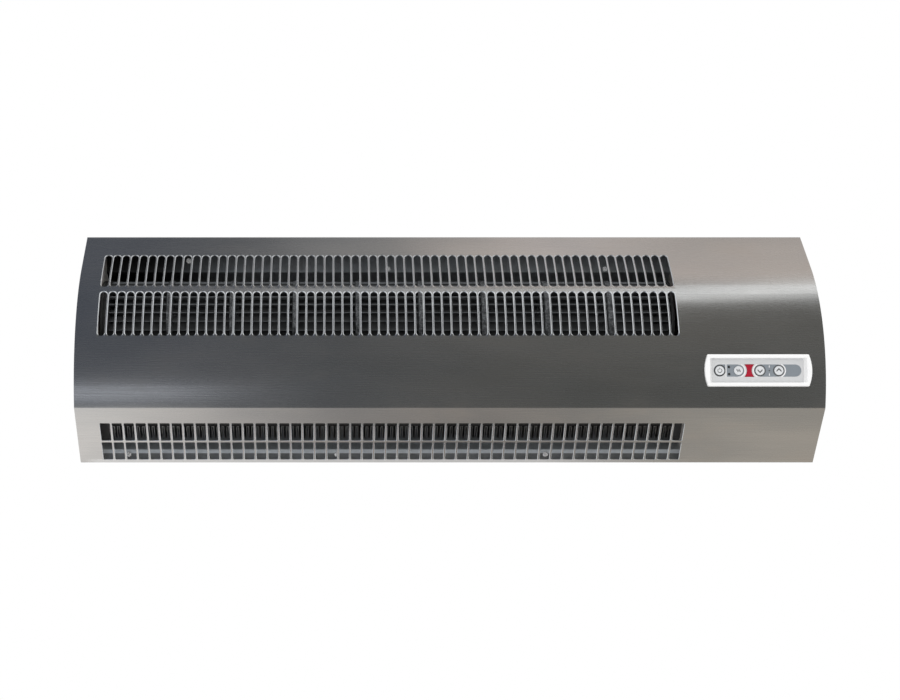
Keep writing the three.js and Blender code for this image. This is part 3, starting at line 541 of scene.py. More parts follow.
class Skin:  # the hood's side view: distance from the kink to point and outward direction
    def __init__(self):
        kink = Vector((-hood["kinkDepth"], caseBottom + hood["outletDrop"]))
        bowTop = Vector((-hood["bowTopDepth"], caseTop - hood["bowTopDrop"]))
        topEdge = Vector((-hood["topDepth"], caseTop))
        rearTop = Vector((-hood["rear"], caseTop))
        bottomEdge = Vector((-hood["bottomDepth"], caseBottom))
        climb = hood["underRise"] / hood["bottomDepth"]
        rearBottom = bottomEdge + Vector((1, climb)) * hood["flange"]
        chord, rise = bowTop - kink, hood["bowRise"]
        self.radius = (chord.length_squared / 4 + rise * rise) / (2 * rise)
        self.up = chord.normalized()
        self.out = Vector((-self.up.y, self.up.x))
        self.centre = (kink + bowTop) / 2 + self.out * (rise - self.radius)
        self.half = asin(chord.length / 2 / self.radius)
        self.bowLength = 2 * self.half * self.radius
        self.flats = {1: [], -1: []}      # above the bow and below the kink
        self.top, self.topEnd = self.addFlats(1, self.bowLength, bowTop, topEdge, rearTop)
        self.bottom, self.bottomEnd = self.addFlats(-1, 0, kink, bottomEdge, rearBottom)
        tight = hood["tightFold"]
        self.folds = [(self.top, tight), (0, hood["foldRadius"]), (self.bottom, tight)]

    def addFlats(self, side, distance, *corners):
        ends = []
        for start, end in zip(corners, corners[1:]):
            along = (end - start).normalized()
            self.flats[side].append((distance, start, along, Vector((-along.y, along.x)) * side))
            distance += side * (end - start).length
            ends.append(distance)
        return ends

    def plain(self, distance):  # with sharp folds
        if 0 <= distance <= self.bowLength:
            out = self.out * cos(distance / self.radius - self.half)
            out += self.up * sin(distance / self.radius - self.half)
            return self.centre + out * self.radius, out
        side = 1 if distance > 0 else -1
        start, point, along, out = [f for f in self.flats[side] if f[0] * side <= distance * side][-1]
        return point + along * (distance - start) * side, out

    def fold(self, middle, radius):  # its angle, and its reach to each side
        before, after = self.plain(middle - tiny)[1], self.plain(middle + tiny)[1]
        turn = before.angle(after)
        side = 1 if before.x * after.y > before.y * after.x else -1
        return turn * side, radius * tan(turn / 2)

    def at(self, distance, inward):
        for middle, radius in self.folds:
            turn, reach = self.fold(middle, radius)
            if abs(distance - middle) < reach:
                start, out = self.plain(middle - reach)
                centre = start - out * radius
                out = Vector(turned(out, turn * (distance - middle + reach) / (2 * reach)))
                return centre + out * (radius - inward), out
        point, out = self.plain(distance)
        return point - out * inward, out

    def under(self, distance, inward):  # a point on the inside, with sharp folds
        point, out = self.plain(distance)
        return point - out * inward

    def foldStops(self):
        steps = hood["foldSteps"]
        reaches = [(middle, self.fold(middle, radius)[1]) for middle, radius in self.folds]
        return [middle + reach * (2 * i / steps - 1) for middle, reach in reaches for i in range(steps + 1)]


skin = Skin()
print("hood line:", round(skin.topEnd - skin.bottomEnd, 4), "m of sheet")


class Pattern:  # the hood's flat pattern: x along the case, s along the hood's line
    def __init__(self):
        self.index = {}
        self.points, self.dips, self.faces, self.slots = [], [], [], []

    def point(self, x, s, dip=0.0):
        key = (round(x * 1e6), round(s * 1e6))
        if key not in self.index:
            self.index[key] = len(self.points)
            self.points.append((x, s))
            self.dips.append(dip)
        return self.index[key]

    def quad(self, corners):
        ids = tuple(dict.fromkeys(self.point(*c) for c in corners))
        if len(ids) > 2:
            self.faces.append(ids)
            self.slots.append(int(any(self.dips[i] > hood["highlighted"] for i in ids)))

    def strip(self, outer, inner):
        for i in range(len(outer) - 1):
            self.quad((outer[i], outer[i + 1], inner[i + 1], inner[i]))

    def grid(self, xs, stops, skip=lambda x, s: False):
        for s0, s1 in zip(stops, stops[1:]):
            for x0, x1 in zip(xs, xs[1:]):
                if not skip((x0 + x1) / 2, (s0 + s1) / 2):
                    self.quad(((x0, s0), (x1, s0), (x1, s1), (x0, s1)))

    def join(self, lower, s0, upper, s1):  # two rows with unlike spacing
        i = j = 0
        while i < len(lower) - 1 or j < len(upper) - 1:
            lowerNext = lower[i + 1] if i < len(lower) - 1 else inf
            upperNext = upper[j + 1] if j < len(upper) - 1 else inf
            if lowerNext <= upperNext:
                self.quad(((lower[i], s0), (lowerNext, s0), (upper[j], s1)))
                i += 1
            else:
                self.quad(((lower[i], s0), (upperNext, s1), (upper[j], s1)))
                j += 1

    def hole(self, outline, border, edge, fade):  # both lines run side by side, from the bottom to the top
        side = 1 if border[len(border) // 2][0] > outline[0][0] else -1
        last = len(outline) - 1
        soft = []
        for i, (x, s) in enumerate(outline):
            before, after = outline[max(i - 1, 0)], outline[min(i + 1, last)]
            along = Vector((after[0] - before[0], after[1] - before[1])).normalized()
            away = Vector((along.y, -along.x)) * side
            if i in (0, last):
                away = Vector((0, 1 if i else -1))
            soft.append((x + away.x * edge, s + away.y * edge))
        self.strip(border, soft)
        self.strip(soft, [(x, s, edge * min((i + 1) / fade, 1) ** 2) for i, (x, s) in enumerate(outline)])

    def punch(self, kind, start, low, high, *sides):  # a row of holes, plain at its ends
        for middle in columns(kind)[0]:
            for side in (-1, 1):
                outline, border = holeHalf(kind, middle, side, start, low, high)
                self.hole(outline, border, hood[kind + "Edge"], hood[kind + "Fade"])
        stops = sorted(set(round(s, 7) for _, s in border))
        for xs in sides:
            self.grid(xs, stops)

    def bend(self):
        shape = Shape()
        sheet = [hood["sheet"]] * len(self.points)
        for inward in (self.dips, sheet):
            for (x, s), depth in zip(self.points, inward):
                shape.place((x, *skin.at(s, depth)[0]))
        count = len(self.points)
        edges = {}
        for f, slot in zip(self.faces, self.slots):
            corners = [self.points[i] for i in f]
            if sum(a[0] * b[1] - b[0] * a[1] for a, b in zip(corners, corners[1:] + corners[:1])) < 0:
                f = f[::-1]
            shape.face(f, slot)
            shape.face([i + count for i in f[::-1]])
            for edge in zip(f, f[1:] + f[:1]):
                edges[edge] = True
        for a, b in edges:
            if (b, a) not in edges:
                # walls of rims rolled in far enough take the painted highlight
                bright = min(self.dips[a], self.dips[b]) > hood["highlighted"]
                shape.face((b, a, a + count, b + count), int(bright))
        return shape


def holeHalf(kind, middle, side, start, low, high):  # half a hole's outline, and the border of its mesh
    corner, height = hood[kind + "Corner"], hood[kind + "Height"]
    across, wide = hood[kind + "Width"] / 2 - corner, hood[kind + "Pitch"] / 2
    arcSteps, sideSteps = hood[kind + "Steps"]
    half = [(0, 0)] if across else []
    half += [(across + corner * sin(a), corner * (1 - cos(a))) for a in spread(0, pi / 2, arcSteps)[:-1]]
    wall = [(across + corner, s) for s in spread(corner, height - corner, sideSteps)]
    half += wall + [(x, height - s) for x, s in half[::-1]]
    outline = [(middle + side * x, start + s) for x, s in half]
    border = [(middle + side * wide, s) for _, s in outline]
    for i in range(3):
        x = middle + side * wide * i / 2
        border[i], border[-1 - i] = (x, low), (x, high)
    return outline, border


def columns(kind):  # the middles of a row's holes, and the lines of the mesh there
    start = caseLow.x + hood[kind + "Margin"] + hood[kind + "Width"] / 2
    middles = [start + i * hood[kind + "Pitch"] for i in range(hood[kind + "Count"])]
    wide = hood[kind + "Pitch"] / 2
    return middles, [m + wide * k / 2 for m in middles for k in (-2, -1, 0, 1)] + [middles[-1] + wide]


def makeHood():
    pattern = Pattern()
    left, right = caseLow.x, caseHigh.x
    (fasciaLow, fasciaHigh), (grommetLow, grommetHigh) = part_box("control_fascia"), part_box("cable_grommet")
    windowLow, windowHigh = fasciaLow.x - hood["windowGap"], fasciaHigh.x + hood["windowGap"]
    notchLow, notchHigh = grommetLow.x - hood["notchGap"], grommetHigh.x + hood["notchGap"]
    notchStart = skin.top + hood["topDepth"] + grommetLow.y - hood["notchGap"]
    windowMiddle, windowHalf = hood["window"]
    window = (windowMiddle - windowHalf, windowMiddle + windowHalf)

    def inWindow(x, s):
        return windowLow < x < windowHigh and window[0] < s < window[1]

    def inNotch(x, s):
        return notchLow < x < notchHigh and s > notchStart

    def stops(low, high, *others):
        return sorted({low, high, *others, *(s for s in skin.foldStops() if low < s < high)})

    slotXs = columns("slot")[1]
    leftXs = spread(left, slotXs[0], 2)
    rightXs = [slotXs[-1], (slotXs[-1] + windowLow) / 2]
    inner, outer = hood["windowClear"]
    others = spread(windowLow + inner, windowHigh - outer, 3)
    rightXs += sorted([windowLow, windowHigh, notchLow, notchHigh, right] + others)
    plainXs = leftXs + slotXs[1:-1] + rightXs
    (lower, upper), height, border = hood["slotRows"], hood["slotHeight"], hood["slotBorder"]
    between = (lower + height + upper) / 2
    under, over = lower - border, upper + height + border
    pattern.punch("slot", lower, under, between, leftXs, rightXs)
    pattern.punch("slot", upper, between, over, leftXs, rightXs)
    clear, less = hood["clear"]
    front = spread(clear, under - less, 11)
    pattern.grid(plainXs, stops(hood["change"], under, *window, *front), inWindow)
    roof = spread(over + clear, skin.top - clear, 3)
    pattern.grid(plainXs, stops(over, skin.topEnd, notchStart, *roof), inNotch)

    cellXs = columns("cell")[1]
    leftXs, rightXs = spread(left, cellXs[0], 2), spread(cellXs[-1], right, 5)
    outletXs = leftXs + cellXs[1:] + rightXs[1:]
    (upper, lower), height, (above, below) = hood["cellRows"], hood["cellHeight"], hood["cellBorders"]
    top = -(upper - above)
    between = -(upper + height + lower) / 2
    bottom = -(lower + height + below)
    pattern.join(outletXs, top, plainXs, hood["change"])
    pattern.punch("cell", -(upper + height), between, top, leftXs, rightXs)
    pattern.punch("cell", -(lower + height), bottom, between, leftXs, rightXs)
    pattern.grid(outletXs, stops(skin.bottomEnd, bottom))
    shape = pattern.bend()
    shape.piece("front_hood", "sheet", looks["stainless"], edgeHighlight)
    print("hood:", len(shape.faces), "faces")


makeHood()

ends = {
    "inward": 0.0013,             # inside the hood's outer face
    "sheet": 0.001,
    "tab": 0.014,
    "tabDepth": 0.012,
    "tabInward": 0.0028,
    "topTab": 0.045,              # depth of the upper tab's middle
    "lowerTab": 0.069,
    "bowFrom": 0.004,
    "rear": 0.0003,
}


def underStop(depth):  # distance along the hood's line of a point of the underside
    slope = hypot(hood["bottomDepth"], hood["underRise"]) / hood["bottomDepth"]
    return skin.bottom - (hood["bottomDepth"] - depth) * slope


def makeEndPlate(name, side):
    shape = Shape()
    stops = [underStop(ends["rear"]), *skin.foldStops(), skin.topEnd + hood["rear"] - ends["rear"]]
    stops = sorted({*stops, *spread(ends["bowFrom"], skin.bowLength, 40)})
    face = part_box(name)[side > 0].x
    inner = face - side * ends["sheet"]
    plate(shape, [[tuple(skin.at(stop, ends["inward"])[0]) for stop in stops]], inner, face, sideView)
    half = ends["tabDepth"] / 2
    roof = skin.top + hood["topDepth"] - ends["topTab"]
    under = (underStop(ends["lowerTab"] + half), underStop(ends["lowerTab"] - half))
    for tab, thickness in ((under, ends["sheet"]), ((roof - half, roof + half), -ends["sheet"])):
        line = [skin.under(s, ends["tabInward"]) for s in tab]
        ribbon(shape, line, thickness, sideView, face - side * ends["tab"], inner)
    shape.piece(name, "sheet")


makeEndPlate("left_end_plate", -1)
makeEndPlate("right_end_plate", 1)

chassis = {
    "sheet": 0.0012,
    "lip": 0.013,
    "topDepth": 0.076,
    "bottomDepth": 0.0771,
    "bend": 0.0024,
    "keyholes": (-0.3, 0.2),
    "keyholeHeight": 0.104,
    "head": 0.005,                # radius of the round part
    "neck": 0.0025,
    "rise": 0.011,
}


def keyhole(x):
    start = asin(chassis["neck"] / chassis["head"])
    height = chassis["keyholeHeight"]
    head = arc(chassis["head"], pi / 2 + start, pi * 5 / 2 - start, 24, (x, height))
    return head + arc(chassis["neck"], 0, pi, 8, (x, height + chassis["rise"] - chassis["neck"]))


def makeChassis():
    shape = Shape()
    low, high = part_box("chassis")
    foot = skin.under(underStop(0), ends["inward"])
    toe = skin.under(underStop(chassis["bottomDepth"]), ends["inward"])
    line = filleted([
        (-chassis["topDepth"], high.z - chassis["lip"]),
        (-chassis["topDepth"], high.z),
        (0, high.z),
        (0, foot.y),
        (-chassis["bottomDepth"], toe.y),
        (-chassis["bottomDepth"], toe.y + chassis["lip"]),
    ], chassis["bend"])
    back = max(range(len(line) - 1), key=lambda i: (line[i + 1] - line[i]).length)
    inner = ribbon(shape, line, -chassis["sheet"], sideView, low.x, high.x, back)
    rings = []
    for wall in (line, inner):
        top, bottom = wall[back].y, wall[back + 1].y
        loops = [[(low.x, bottom), (high.x, bottom), (high.x, top), (low.x, top)]]
        loops += [keyhole(x) for x in chassis["keyholes"]]
        rings.append(holedFace(shape, loops, wall[back].x, lambda x, z, y: (x, y, z)))
    for first, second in zip(rings[0][1:], rings[1][1:]):
        shape.bridge(first, second)
    shape.piece("chassis", "sheet")


makeChassis()
print("case closed")

spin = next(j for j in frame["record"]["behaviour"]["joints"] if j["name"] == "impeller_spin")
axis = Vector(spin["pos_m"][1:])

guide = {
    "sheet": 0.0008,
    "topDepth": 0.0771,
    "radii": (0.064, 0.076),      # at its upper edge and at its last point
    "angles": (10, 120),          # degrees back from straight up
    "lip": 0.0116,
    "bend": 0.0024,
    "steps": 44,
    "marks": (0.0074, 0.0122, 0.055),  # up from its lower edge: the ends of the painted fold highlight, and the top of the painted lighter band
}
tongue = {"tip": (0.0543, -130), "rim": (0.0573, -120), "foot": 0.0055, "heel": 0.0205}


def fromAxis(radius, angle):
    turn = radians(angle)
    return axis + Vector((sin(turn), cos(turn))) * radius


def cutAt(line, height):  # adds the point where a side-view line crosses a height
    cut = [line[0]]
    for start, end in zip(line, line[1:]):
        if (start.y - height) * (end.y - height) < 0:
            cut.append(start.lerp(end, (height - start.y) / (end.y - start.y)))
        cut.append(end)
    return cut


def makeGuide():
    shape = Shape()
    low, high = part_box("rear_guide")
    scroll = []
    for share in spread(0, 1, guide["steps"]):
        scroll.append(fromAxis(*(a + (b - a) * share for a, b in (guide["radii"], guide["angles"]))))
    line = filleted([
        (-guide["topDepth"], high.z),
        (-guide["topDepth"], scroll[0].y),
        *scroll[1:],
        (low.y, low.z + guide["lip"]),
        (low.y, low.z),
    ], guide["bend"])
    marks = [low.z + height for height in guide["marks"]]
    for height in marks:
        line = cutAt(line, height)
    ribbon(shape, line, guide["sheet"], sideView, low.x, high.x)
    # painted light by height on one sheet: painted shade on the lip, a painted highlight on the fold, a painted
    # lighter band above it
    for i, corners in enumerate(shape.faces):
        height = sum(shape.points[c].z for c in corners) / len(corners)
        shape.slots[i] = sum(height < mark for mark in marks)
    shape.piece("rear_guide", "sheet", zincGuide, zincLitBand, foldHighlight, zincLipShade)


def makeTongue():
    shape = Shape()
    low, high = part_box("duct_tongue")
    line = [skin.under(-down, ends["inward"]) for down in (tongue["foot"], tongue["heel"])]
    line = filleted([*line, fromAxis(*tongue["tip"]), fromAxis(*tongue["rim"])], guide["bend"])
    ribbon(shape, line, guide["sheet"], sideView, low.x, high.x)
    # painted shade on the tongue
    shape.piece("duct_tongue", "sheet", zincTongueShade)


makeGuide()
makeTongue()

impeller = {
    "radius": 0.048,
    "bladeCount": 30,
    "chord": 0.012,
    "lean": 28,
    "thickness": 0.0015,
    "edgeShare": 0.45,            # of a blade's thickness, left at its edges
    "camber": 0.0016,
    "tip": 0.0012,                # blade tips under the rim of the rings
    "steps": (0, 0.05, 0.2, 0.36, 0.52, 0.68, 0.84, 1),  # along a blade from its outer edge
    "ringInner": 0.032,
    "ringWidth": 0.006,
    "edge": 0.0005,
    "chamfer": 0.3,
    "sides": 90,
    "hub": 0.013,
    "hubLength": 0.0113,
    "discs": {"bearing_disc": (1, 0.0043), "drive_disc": (-1, 0.0103)},  # the side of the hub, and its bore
}


def bladeSection(index):
    turn, lean = 2 * pi * index / impeller["bladeCount"], radians(impeller["lean"])
    outer, thin = impeller["radius"] - impeller["tip"], impeller["edgeShare"]
    section = []
    for side in (1, -1):
        line = []
        for share in impeller["steps"]:
            half = impeller["thickness"] / 2 * (thin + (1 - thin) * sin(pi * share))
            across = impeller["camber"] * 4 * share * (1 - share) + side * half
            x, y = turned((-impeller["chord"] * share, across), lean)
            line.append(turned((outer + x, y), turn))
        section += line[::side]
    return section


def rim(low, high, inner):  # (x, radius) pairs of a ring with softened edges
    r, e = impeller["radius"], impeller["edge"]
    cut = e * impeller["chamfer"]
    return [(low, inner), (low, r - e), (low + cut, r - cut), (low + e, r),
            (high - e, r), (high - cut, r - cut), (high, r - e), (high, inner)]


def aboutAxis(shape, pairs, sides, start=0, slot=0):  # a closed ring about the impeller's axis
    revolve(shape, pairs + pairs[:1], (start, axis.x, axis.y), (1, 0, 0), sides, slot)


def makeSegment(number):
    shape = Shape()
    name = f"impeller_segment_{number}"
    low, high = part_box(name)
    wide = impeller["ringWidth"]
    aboutAxis(shape, rim(low.x, low.x + wide, impeller["ringInner"]), impeller["sides"], slot=1)
    for i in range(impeller["bladeCount"]):
        section = bladeSection(i)
        first, count = len(shape.slots), len(section)
        shape.loft([[(x, axis.x + a, axis.y + b) for a, b in section] for x in (low.x + wide / 2, high.x)])
        # the blade's outer edge faces take the painted highlight
        for k in (0, count - 2, count - 1):
            shape.slots[first + k] = 2
    # painted shade: the first ring, at the left end, takes the end discs' darker moulding
    ringFinish = ringSpeckle if number > 1 else discShade
    shape.piece(name, "cage", looks["impeller_plastic"], ringFinish, bladeHighlight, sharp=40)


def makeEndDisc(name, side, bore):
    shape = Shape()
    low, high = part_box(name)
    hub, long = impeller["hub"], impeller["hubLength"]
    start, end = (low.x, high.x - long) if side > 0 else (low.x + long, high.x)
    pairs = rim(start, end, bore)
    if side > 0:
        pairs[-1:] = [(end, hub), (high.x, hub), (high.x, bore)]
    else:
        pairs[:1] = [(low.x, bore), (low.x, hub), (start, hub)]
    aboutAxis(shape, pairs, impeller["sides"])
    shape.piece(name, "cap", discShade, sharp=40)


for number in range(1, 10):
    makeSegment(number)
for name, values in impeller["discs"].items():
    makeEndDisc(name, *values)
print("impeller made")

heater = {
    "centre": 0.0455,             # down the outlet panel from the kink
    "behind": 0.034,
    "levels": (0.0028, 0.02),     # foot and tip of the folds, from the middle
    "deep": 0.02,
    "pitch": 0.0027,
    "foil": 0.0003,
    "bend": 0.0009,
}


def heaterSpot(x, y, z):
    point, out = skin.plain(-heater["centre"])
    p = point - out * (heater["behind"] - z) + Vector((-out.y, out.x)) * y
    return (x, p.x, p.y)


def makeFins(name, side):
    shape = Shape()
    low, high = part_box(name)
    foil, levels, half = heater["foil"], heater["levels"], heater["deep"] / 2
    folds = int((high.x - low.x) / heater["pitch"] / 2) * 2
    pitch = (high.x - low.x - foil) / folds
    line = [(low.x + foil / 2 + i * pitch, side * level)
            for i in range(folds + 1) for level in (levels[::-1] if i % 2 else levels)]
    ribbon(shape, filleted(line, heater["bend"], 3), foil, heaterSpot, -half, half)
    shape.piece(name, "foil", sharp=50)


makeFins("heater_fins_upper", 1)
makeFins("heater_fins_lower", -1)

screw = {
    "head": 0.003,
    "height": 0.002,
    "flat": 0.0019,
    "shank": 0.0016,
    "length": 0.006,
    "recess": 0.001,
    "arm": 0.0015,
    "half": 0.00035,
    "sides": 28,
}
rivets = {"left": (-0.2867, 0.104), "middle": (-0.0626, 0.0945), "right": (0.1819, 0.0945)}  # across and up
rivetDepth = 0.078


def makeScrew(name, place, along, finish=screwHighlight):
    shape = Shape()
    h, r, flat, shank, length = (screw[key] for key in ("height", "head", "flat", "shank", "length"))
    pairs = [(-length, 0), (-length, shank * 0.6), (-length * 0.85, shank), (0, shank), (0, r * 0.97), (h * 0.1, r)]
    for a in spread(0, pi / 2, 5):
        pairs.append((h * (0.3 + 0.7 * sin(a)), flat + (r - flat) * cos(a)))
    revolve(shape, pairs, place, along, screw["sides"])
    along, side, other = acrossOf(along)

    def onHead(x, y, height):
        return Vector(place) + side * x + other * y + along * height

    a, b = screw["arm"], screw["half"]
    cross = [(a, -b), (a, b), (b, b), (b, a), (-b, a), (-b, b)]
    cross += [(-x, -y) for x, y in cross]
    rings = holedFace(shape, [circle(flat, screw["sides"]), cross], h, onHead)
    floor = shape.ring([onHead(x * 0.8, y * 0.8, h - screw["recess"]) for x, y in cross])
    shape.bridge(rings[1], floor)
    shape.face(floor)
    shape.piece(name, "head", finish, sharp=36, slot="steel")


def addScrew(node, along):  # its head is at the end that along points to
    seat = []
    for low, high, way in zip(*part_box(node), along):
        seat.append((high if way > 0 else low) - way * screw["height"] if way else (low + high) / 2)
    makeScrew(node, seat, along)


for spot in ("left", "middle", "right"):
    for kind in ("lip", "guide"):
        addScrew(f"{kind}_screw_{spot}", (0, -1, 0))
for spot, (x, z) in rivets.items():
    makeScrew(f"guide_rivet_{spot}", (x, -rivetDepth, z), (0, -1, 0), rivetHighlight)
for node in ("motor_screw_1", "motor_screw_2"):
    addScrew(node, (-1, 0, 0))
for node in ("hood_screw_left", "hood_screw_right"):
    addScrew(node, (0, 0, 1))

rounds = {  # bore, radius, softened edge, grooves round it and their depth
    "bearing_pin": (0, 0.004, 0.0006, 0, 0),
    "bearing_bush": (0.0046, 0.008, 0.0005, 2, 0.0003),
    "drive_sleeve": (0.0043, 0.01, 0.0008, 3, 0.0006),
    "motor_shaft": (0, 0.004, 0.0006, 0, 0),
    "motor_front_bell": (0.0083, 0.04, 0.003, 0, 0),
    "motor_front_bush": (0.0046, 0.008, 0.0005, 2, 0.0003),
    "motor_stator": (0.025, 0.04, 0.0005, 19, 0.0005),
    "motor_rotor": (0.0043, 0.0234, 0.0008, 11, 0.0004),
    "motor_rear_bell": (0.0083, 0.04, 0.003, 0, 0),
    "motor_rear_bush": (0.0046, 0.008, 0.0005, 2, 0.0003),
    "motor_capacitor": (0, 0.014, 0.0016, 1, 0.0008),
    "thermal_cutout": (0, 0.008, 0.001, 1, 0.0005),
}
groove = {"share": 0.22, "widest": 0.0012, "floor": 0.4, "sides": 64}


def makeRound(name, bore, radius, edge, grooves, depth):
    shape = Shape()
    low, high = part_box(name)
    length = high.x - low.x
    soft = [(edge * (1 - cos(a)), radius - edge * (1 - sin(a))) for a in spread(0, pi / 2, 4)]
    pitch = (length - 2 * edge) / (grooves + 1)
    half = min(pitch * groove["share"], groove["widest"])
    floor = half * groove["floor"]
    pairs = [(0, bore), *soft]
    for i in range(grooves):
        x = edge + pitch * (i + 1)
        pairs += [(x - half, radius), (x - floor, radius - depth), (x + floor, radius - depth), (x + half, radius)]
    pairs += [(length - x, r) for x, r in reversed(soft)] + [(length, bore)]
    place = (low.x, (low.y + high.y) / 2, (low.z + high.z) / 2)
    revolve(shape, pairs + pairs[:1] if bore else pairs, place, (1, 0, 0), groove["sides"])
    shape.piece(name, "round")


holder = {"radius": 0.014, "flange": 0.018, "flangeAt": (0.0067, 0.0087), "bore": 0.0083, "edge": 0.0006}


def makeHolder():
    shape = Shape()
    low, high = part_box("bearing_holder")
    e, end = holder["edge"], high.x - low.x
    r, flange, bore = holder["radius"], holder["flange"], holder["bore"]
    start, stop = holder["flangeAt"]
    pairs = [(0, bore), (0, r - e), (e, r), (start, r), (start, flange - e), (start + e, flange),
             (stop - e, flange), (stop, flange - e), (stop, r), (end - e, r), (end, r - e), (end, bore)]
    aboutAxis(shape, pairs, groove["sides"], low.x)
    shape.piece("bearing_holder", "ring")


for name, sizes in rounds.items():
    makeRound(name, *sizes)
makeHolder()
print("drive made")

grommet = {"bore": 0.007, "neck": 0.0117, "round": 0.0009, "foot": 0.002, "gap": 0.0003, "sides": 48}


def makeGrommet():
    shape = Shape()
    low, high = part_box("cable_grommet")
    flange, e, bore, neck = (high.x - low.x) / 2, grommet["round"], grommet["bore"], grommet["neck"]
    middle = ((low.x + high.x) / 2, (low.y + high.y) / 2, 0)
    under, over = low.z + grommet["foot"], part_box("chassis")[1].z + grommet["gap"]
    pairs = [(high.z - e, bore), (high.z, bore + e), (high.z, flange - e), (high.z - e * 0.3, flange - e * 0.3),
             (over + e * 0.6, flange), (over, flange - e * 0.4), (over, neck), (under, neck), (under, flange - e),
             (under - e * 0.4, flange), (low.z + e * 0.4, flange), (low.z, flange - e * 0.6),
             (low.z, bore + e * 0.5), (low.z + e * 0.5, bore)]
    revolve(shape, pairs + pairs[:1], middle, (0, 0, 1), grommet["sides"])
    shape.piece("cable_grommet", "ring")


makeGrommet()

panel = {  # drawn flat about the middle of its window
    "width": 0.1145,
    "height": 0.0345,
    "bow": 0.0034,
    "proud": 0.003,
    "round": 0.0013,
    "innerRound": 0.00078,
    "inset": 0.0002,
    "corner": 0.0016,
    "window": (0.0976, 0.0252),
    "windowCorner": 0.0008,
    "lean": 0.0026,               # the window's short walls lean outwards this far
    "collar": 0.0025,
    "depth": 0.0105,
    "gap": 0.0003,
    "fascia": (-0.0035, -0.002),  # back and front, from the middle of the skin
}
panelLow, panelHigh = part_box("control_fascia")
panelX = (panelLow.x + panelHigh.x) / 2
panelPoint, panelOut = skin.plain(hood["window"][0])
panelUp = Vector((panelOut.y, -panelOut.x))


def onPanel(x, y, height):
    p = panelPoint + panelUp * y + panelOut * height
    return (panelX + x, p.x, p.y)


def panelLoop(width, height, bow, corner):  # a rectangle with round corners and bowed short sides
    half = height / 2
    reach = half - corner

    def sideX(y):
        return width / 2 - bow * (y / half) ** 2

    middle = sideX(reach) - corner
    quarter = [(sideX(y), y) for y in spread(0, reach, 5)[:-1]]
    quarter += arc(corner, 0, pi / 2, 4, (middle, reach))[:-1]
    quarter += [(x, half) for x in spread(middle, 0, 14)]
    upper = quarter + [(-x, y) for x, y in quarter[-2::-1]]
    return upper + [(x, -y) for x, y in upper[-2:0:-1]]


def makeBezel():
    shape = Shape()
    rings = []
    width, height = panel["window"]

    def addLoop(level, *sizes):  # without a level it follows the hood's skin
        ring = []
        for x, y in panelLoop(*sizes):
            ring.append(onPanel(x, y, panel["gap"] - y * y / (2 * skin.radius) if level is None else level))
        rings.append(shape.ring(ring))

    def outside(inset, level):
        addLoop(level, panel["width"] - 2 * inset, panel["height"] - 2 * inset, panel["bow"], panel["corner"])

    def inside(grow, level, lean=0.0):
        sizes = width + 2 * (grow + lean), height + 2 * grow + lean * 0.3
        addLoop(level, *sizes, 0, panel["windowCorner"])

    r, small, top = panel["round"], panel["innerRound"], panel["proud"]
    turns = spread(0, pi / 2, 5)
    outside(0, None)
    for a in turns:
        outside(panel["inset"] + r * (1 - cos(a)), top - r + r * sin(a))
    for a in turns[::-1]:
        inside(small * (1 - cos(a)), top - small * (1 - sin(a)), panel["lean"])
    inside(0, panel["fascia"][1] + panel["gap"])
    inside(0, -panel["depth"])
    inside(panel["collar"], -panel["depth"])
    inside(panel["collar"], None)
    for first, second in zip(rings, rings[1:] + rings[:1]):
        shape.bridge(first, second)
    shape.piece("control_bezel", "frame", sharp=40)


strip = {
    "half": 0.0065,               # half the height of the film strip
    "right": 0.0464,              # its right-hand end
    "top": 0.00008,
    "divider": (-0.0338, 0.0005),
    "ring": (0.0051, 0.0062),     # dark ring round each button
    "arc": (0.007, 0.0012),       # radius and width of the white arcs
    "arcReach": 66,               # degrees to each side
    "ticks": 0.0123,
    "tick": (0.0043, 0.0004, 0.0012),  # up or down from the middle, half its width and height
    "dot": 0.0008,
    "sides": 40,
}
button = {
    "radius": 0.0048,
    "flange": 0.006,
    "flangeSheet": 0.0012,
    "back": -0.005,
    "top": -0.0012,
    "round": 0.0004,
    "dish": 0.0002,
    "dishShare": 0.72,
    "print": 0.00006,
    "stroke": 0.0006,
    "arrow": (0.0026, 0.0013),    # half width and rise
    "sides": 48,
}
buttons = {"button_power": -0.0405, "button_heat": -0.0206, "button_down": 0.0023, "button_up": 0.0224}
receiver = {"middle": -0.009, "reach": 0.0117, "radius": 0.0093, "half": 0.0065}
lights = {"radius": 0.0011, "hole": 0.0014, "rise": 0.0002, "sides": 20}
lightSpots = {"status_light_upper": (-0.0306, 0.0038), "status_light_lower": (-0.0306, -0.0038)}
lightHoles = [circle(lights["hole"], lights["sides"], spot) for spot in lightSpots.values()]


def receiverOutline(grow):
    half, middle = receiver["half"], receiver["middle"]
    right = []
    for share in spread(-1, 1, 12):
        y = (half + grow) * share
        x = receiver["reach"] - sqrt(receiver["radius"] ** 2 - min(abs(y), half) ** 2)
        right.append((x + grow, y))
    return [(middle + x, y) for x, y in right] + [(middle - x, y) for x, y in right[::-1]]


def rectangle(x, y, wide, tall):
    return [(x - wide, y - tall), (x + wide, y - tall), (x + wide, y + tall), (x - wide, y + tall)]


def bow(middle, radius, start, end, steps, stroke):  # a curved stroke
    turns = radians(start), radians(end)
    outer, inner = (arc(radius + side * stroke / 2, *turns, steps, middle) for side in (1, -1))
    return outer + inner[::-1]


def chevron(up):
    reach, rise = button["arrow"]
    half = button["stroke"] * 1.3
    line = [(-reach, -up * rise * 0.5), (0, up * rise * 1.5), (reach, -up * rise * 0.5)]
    return [(x, y + half) for x, y in line] + [(x, y - half) for x, y in line[::-1]]


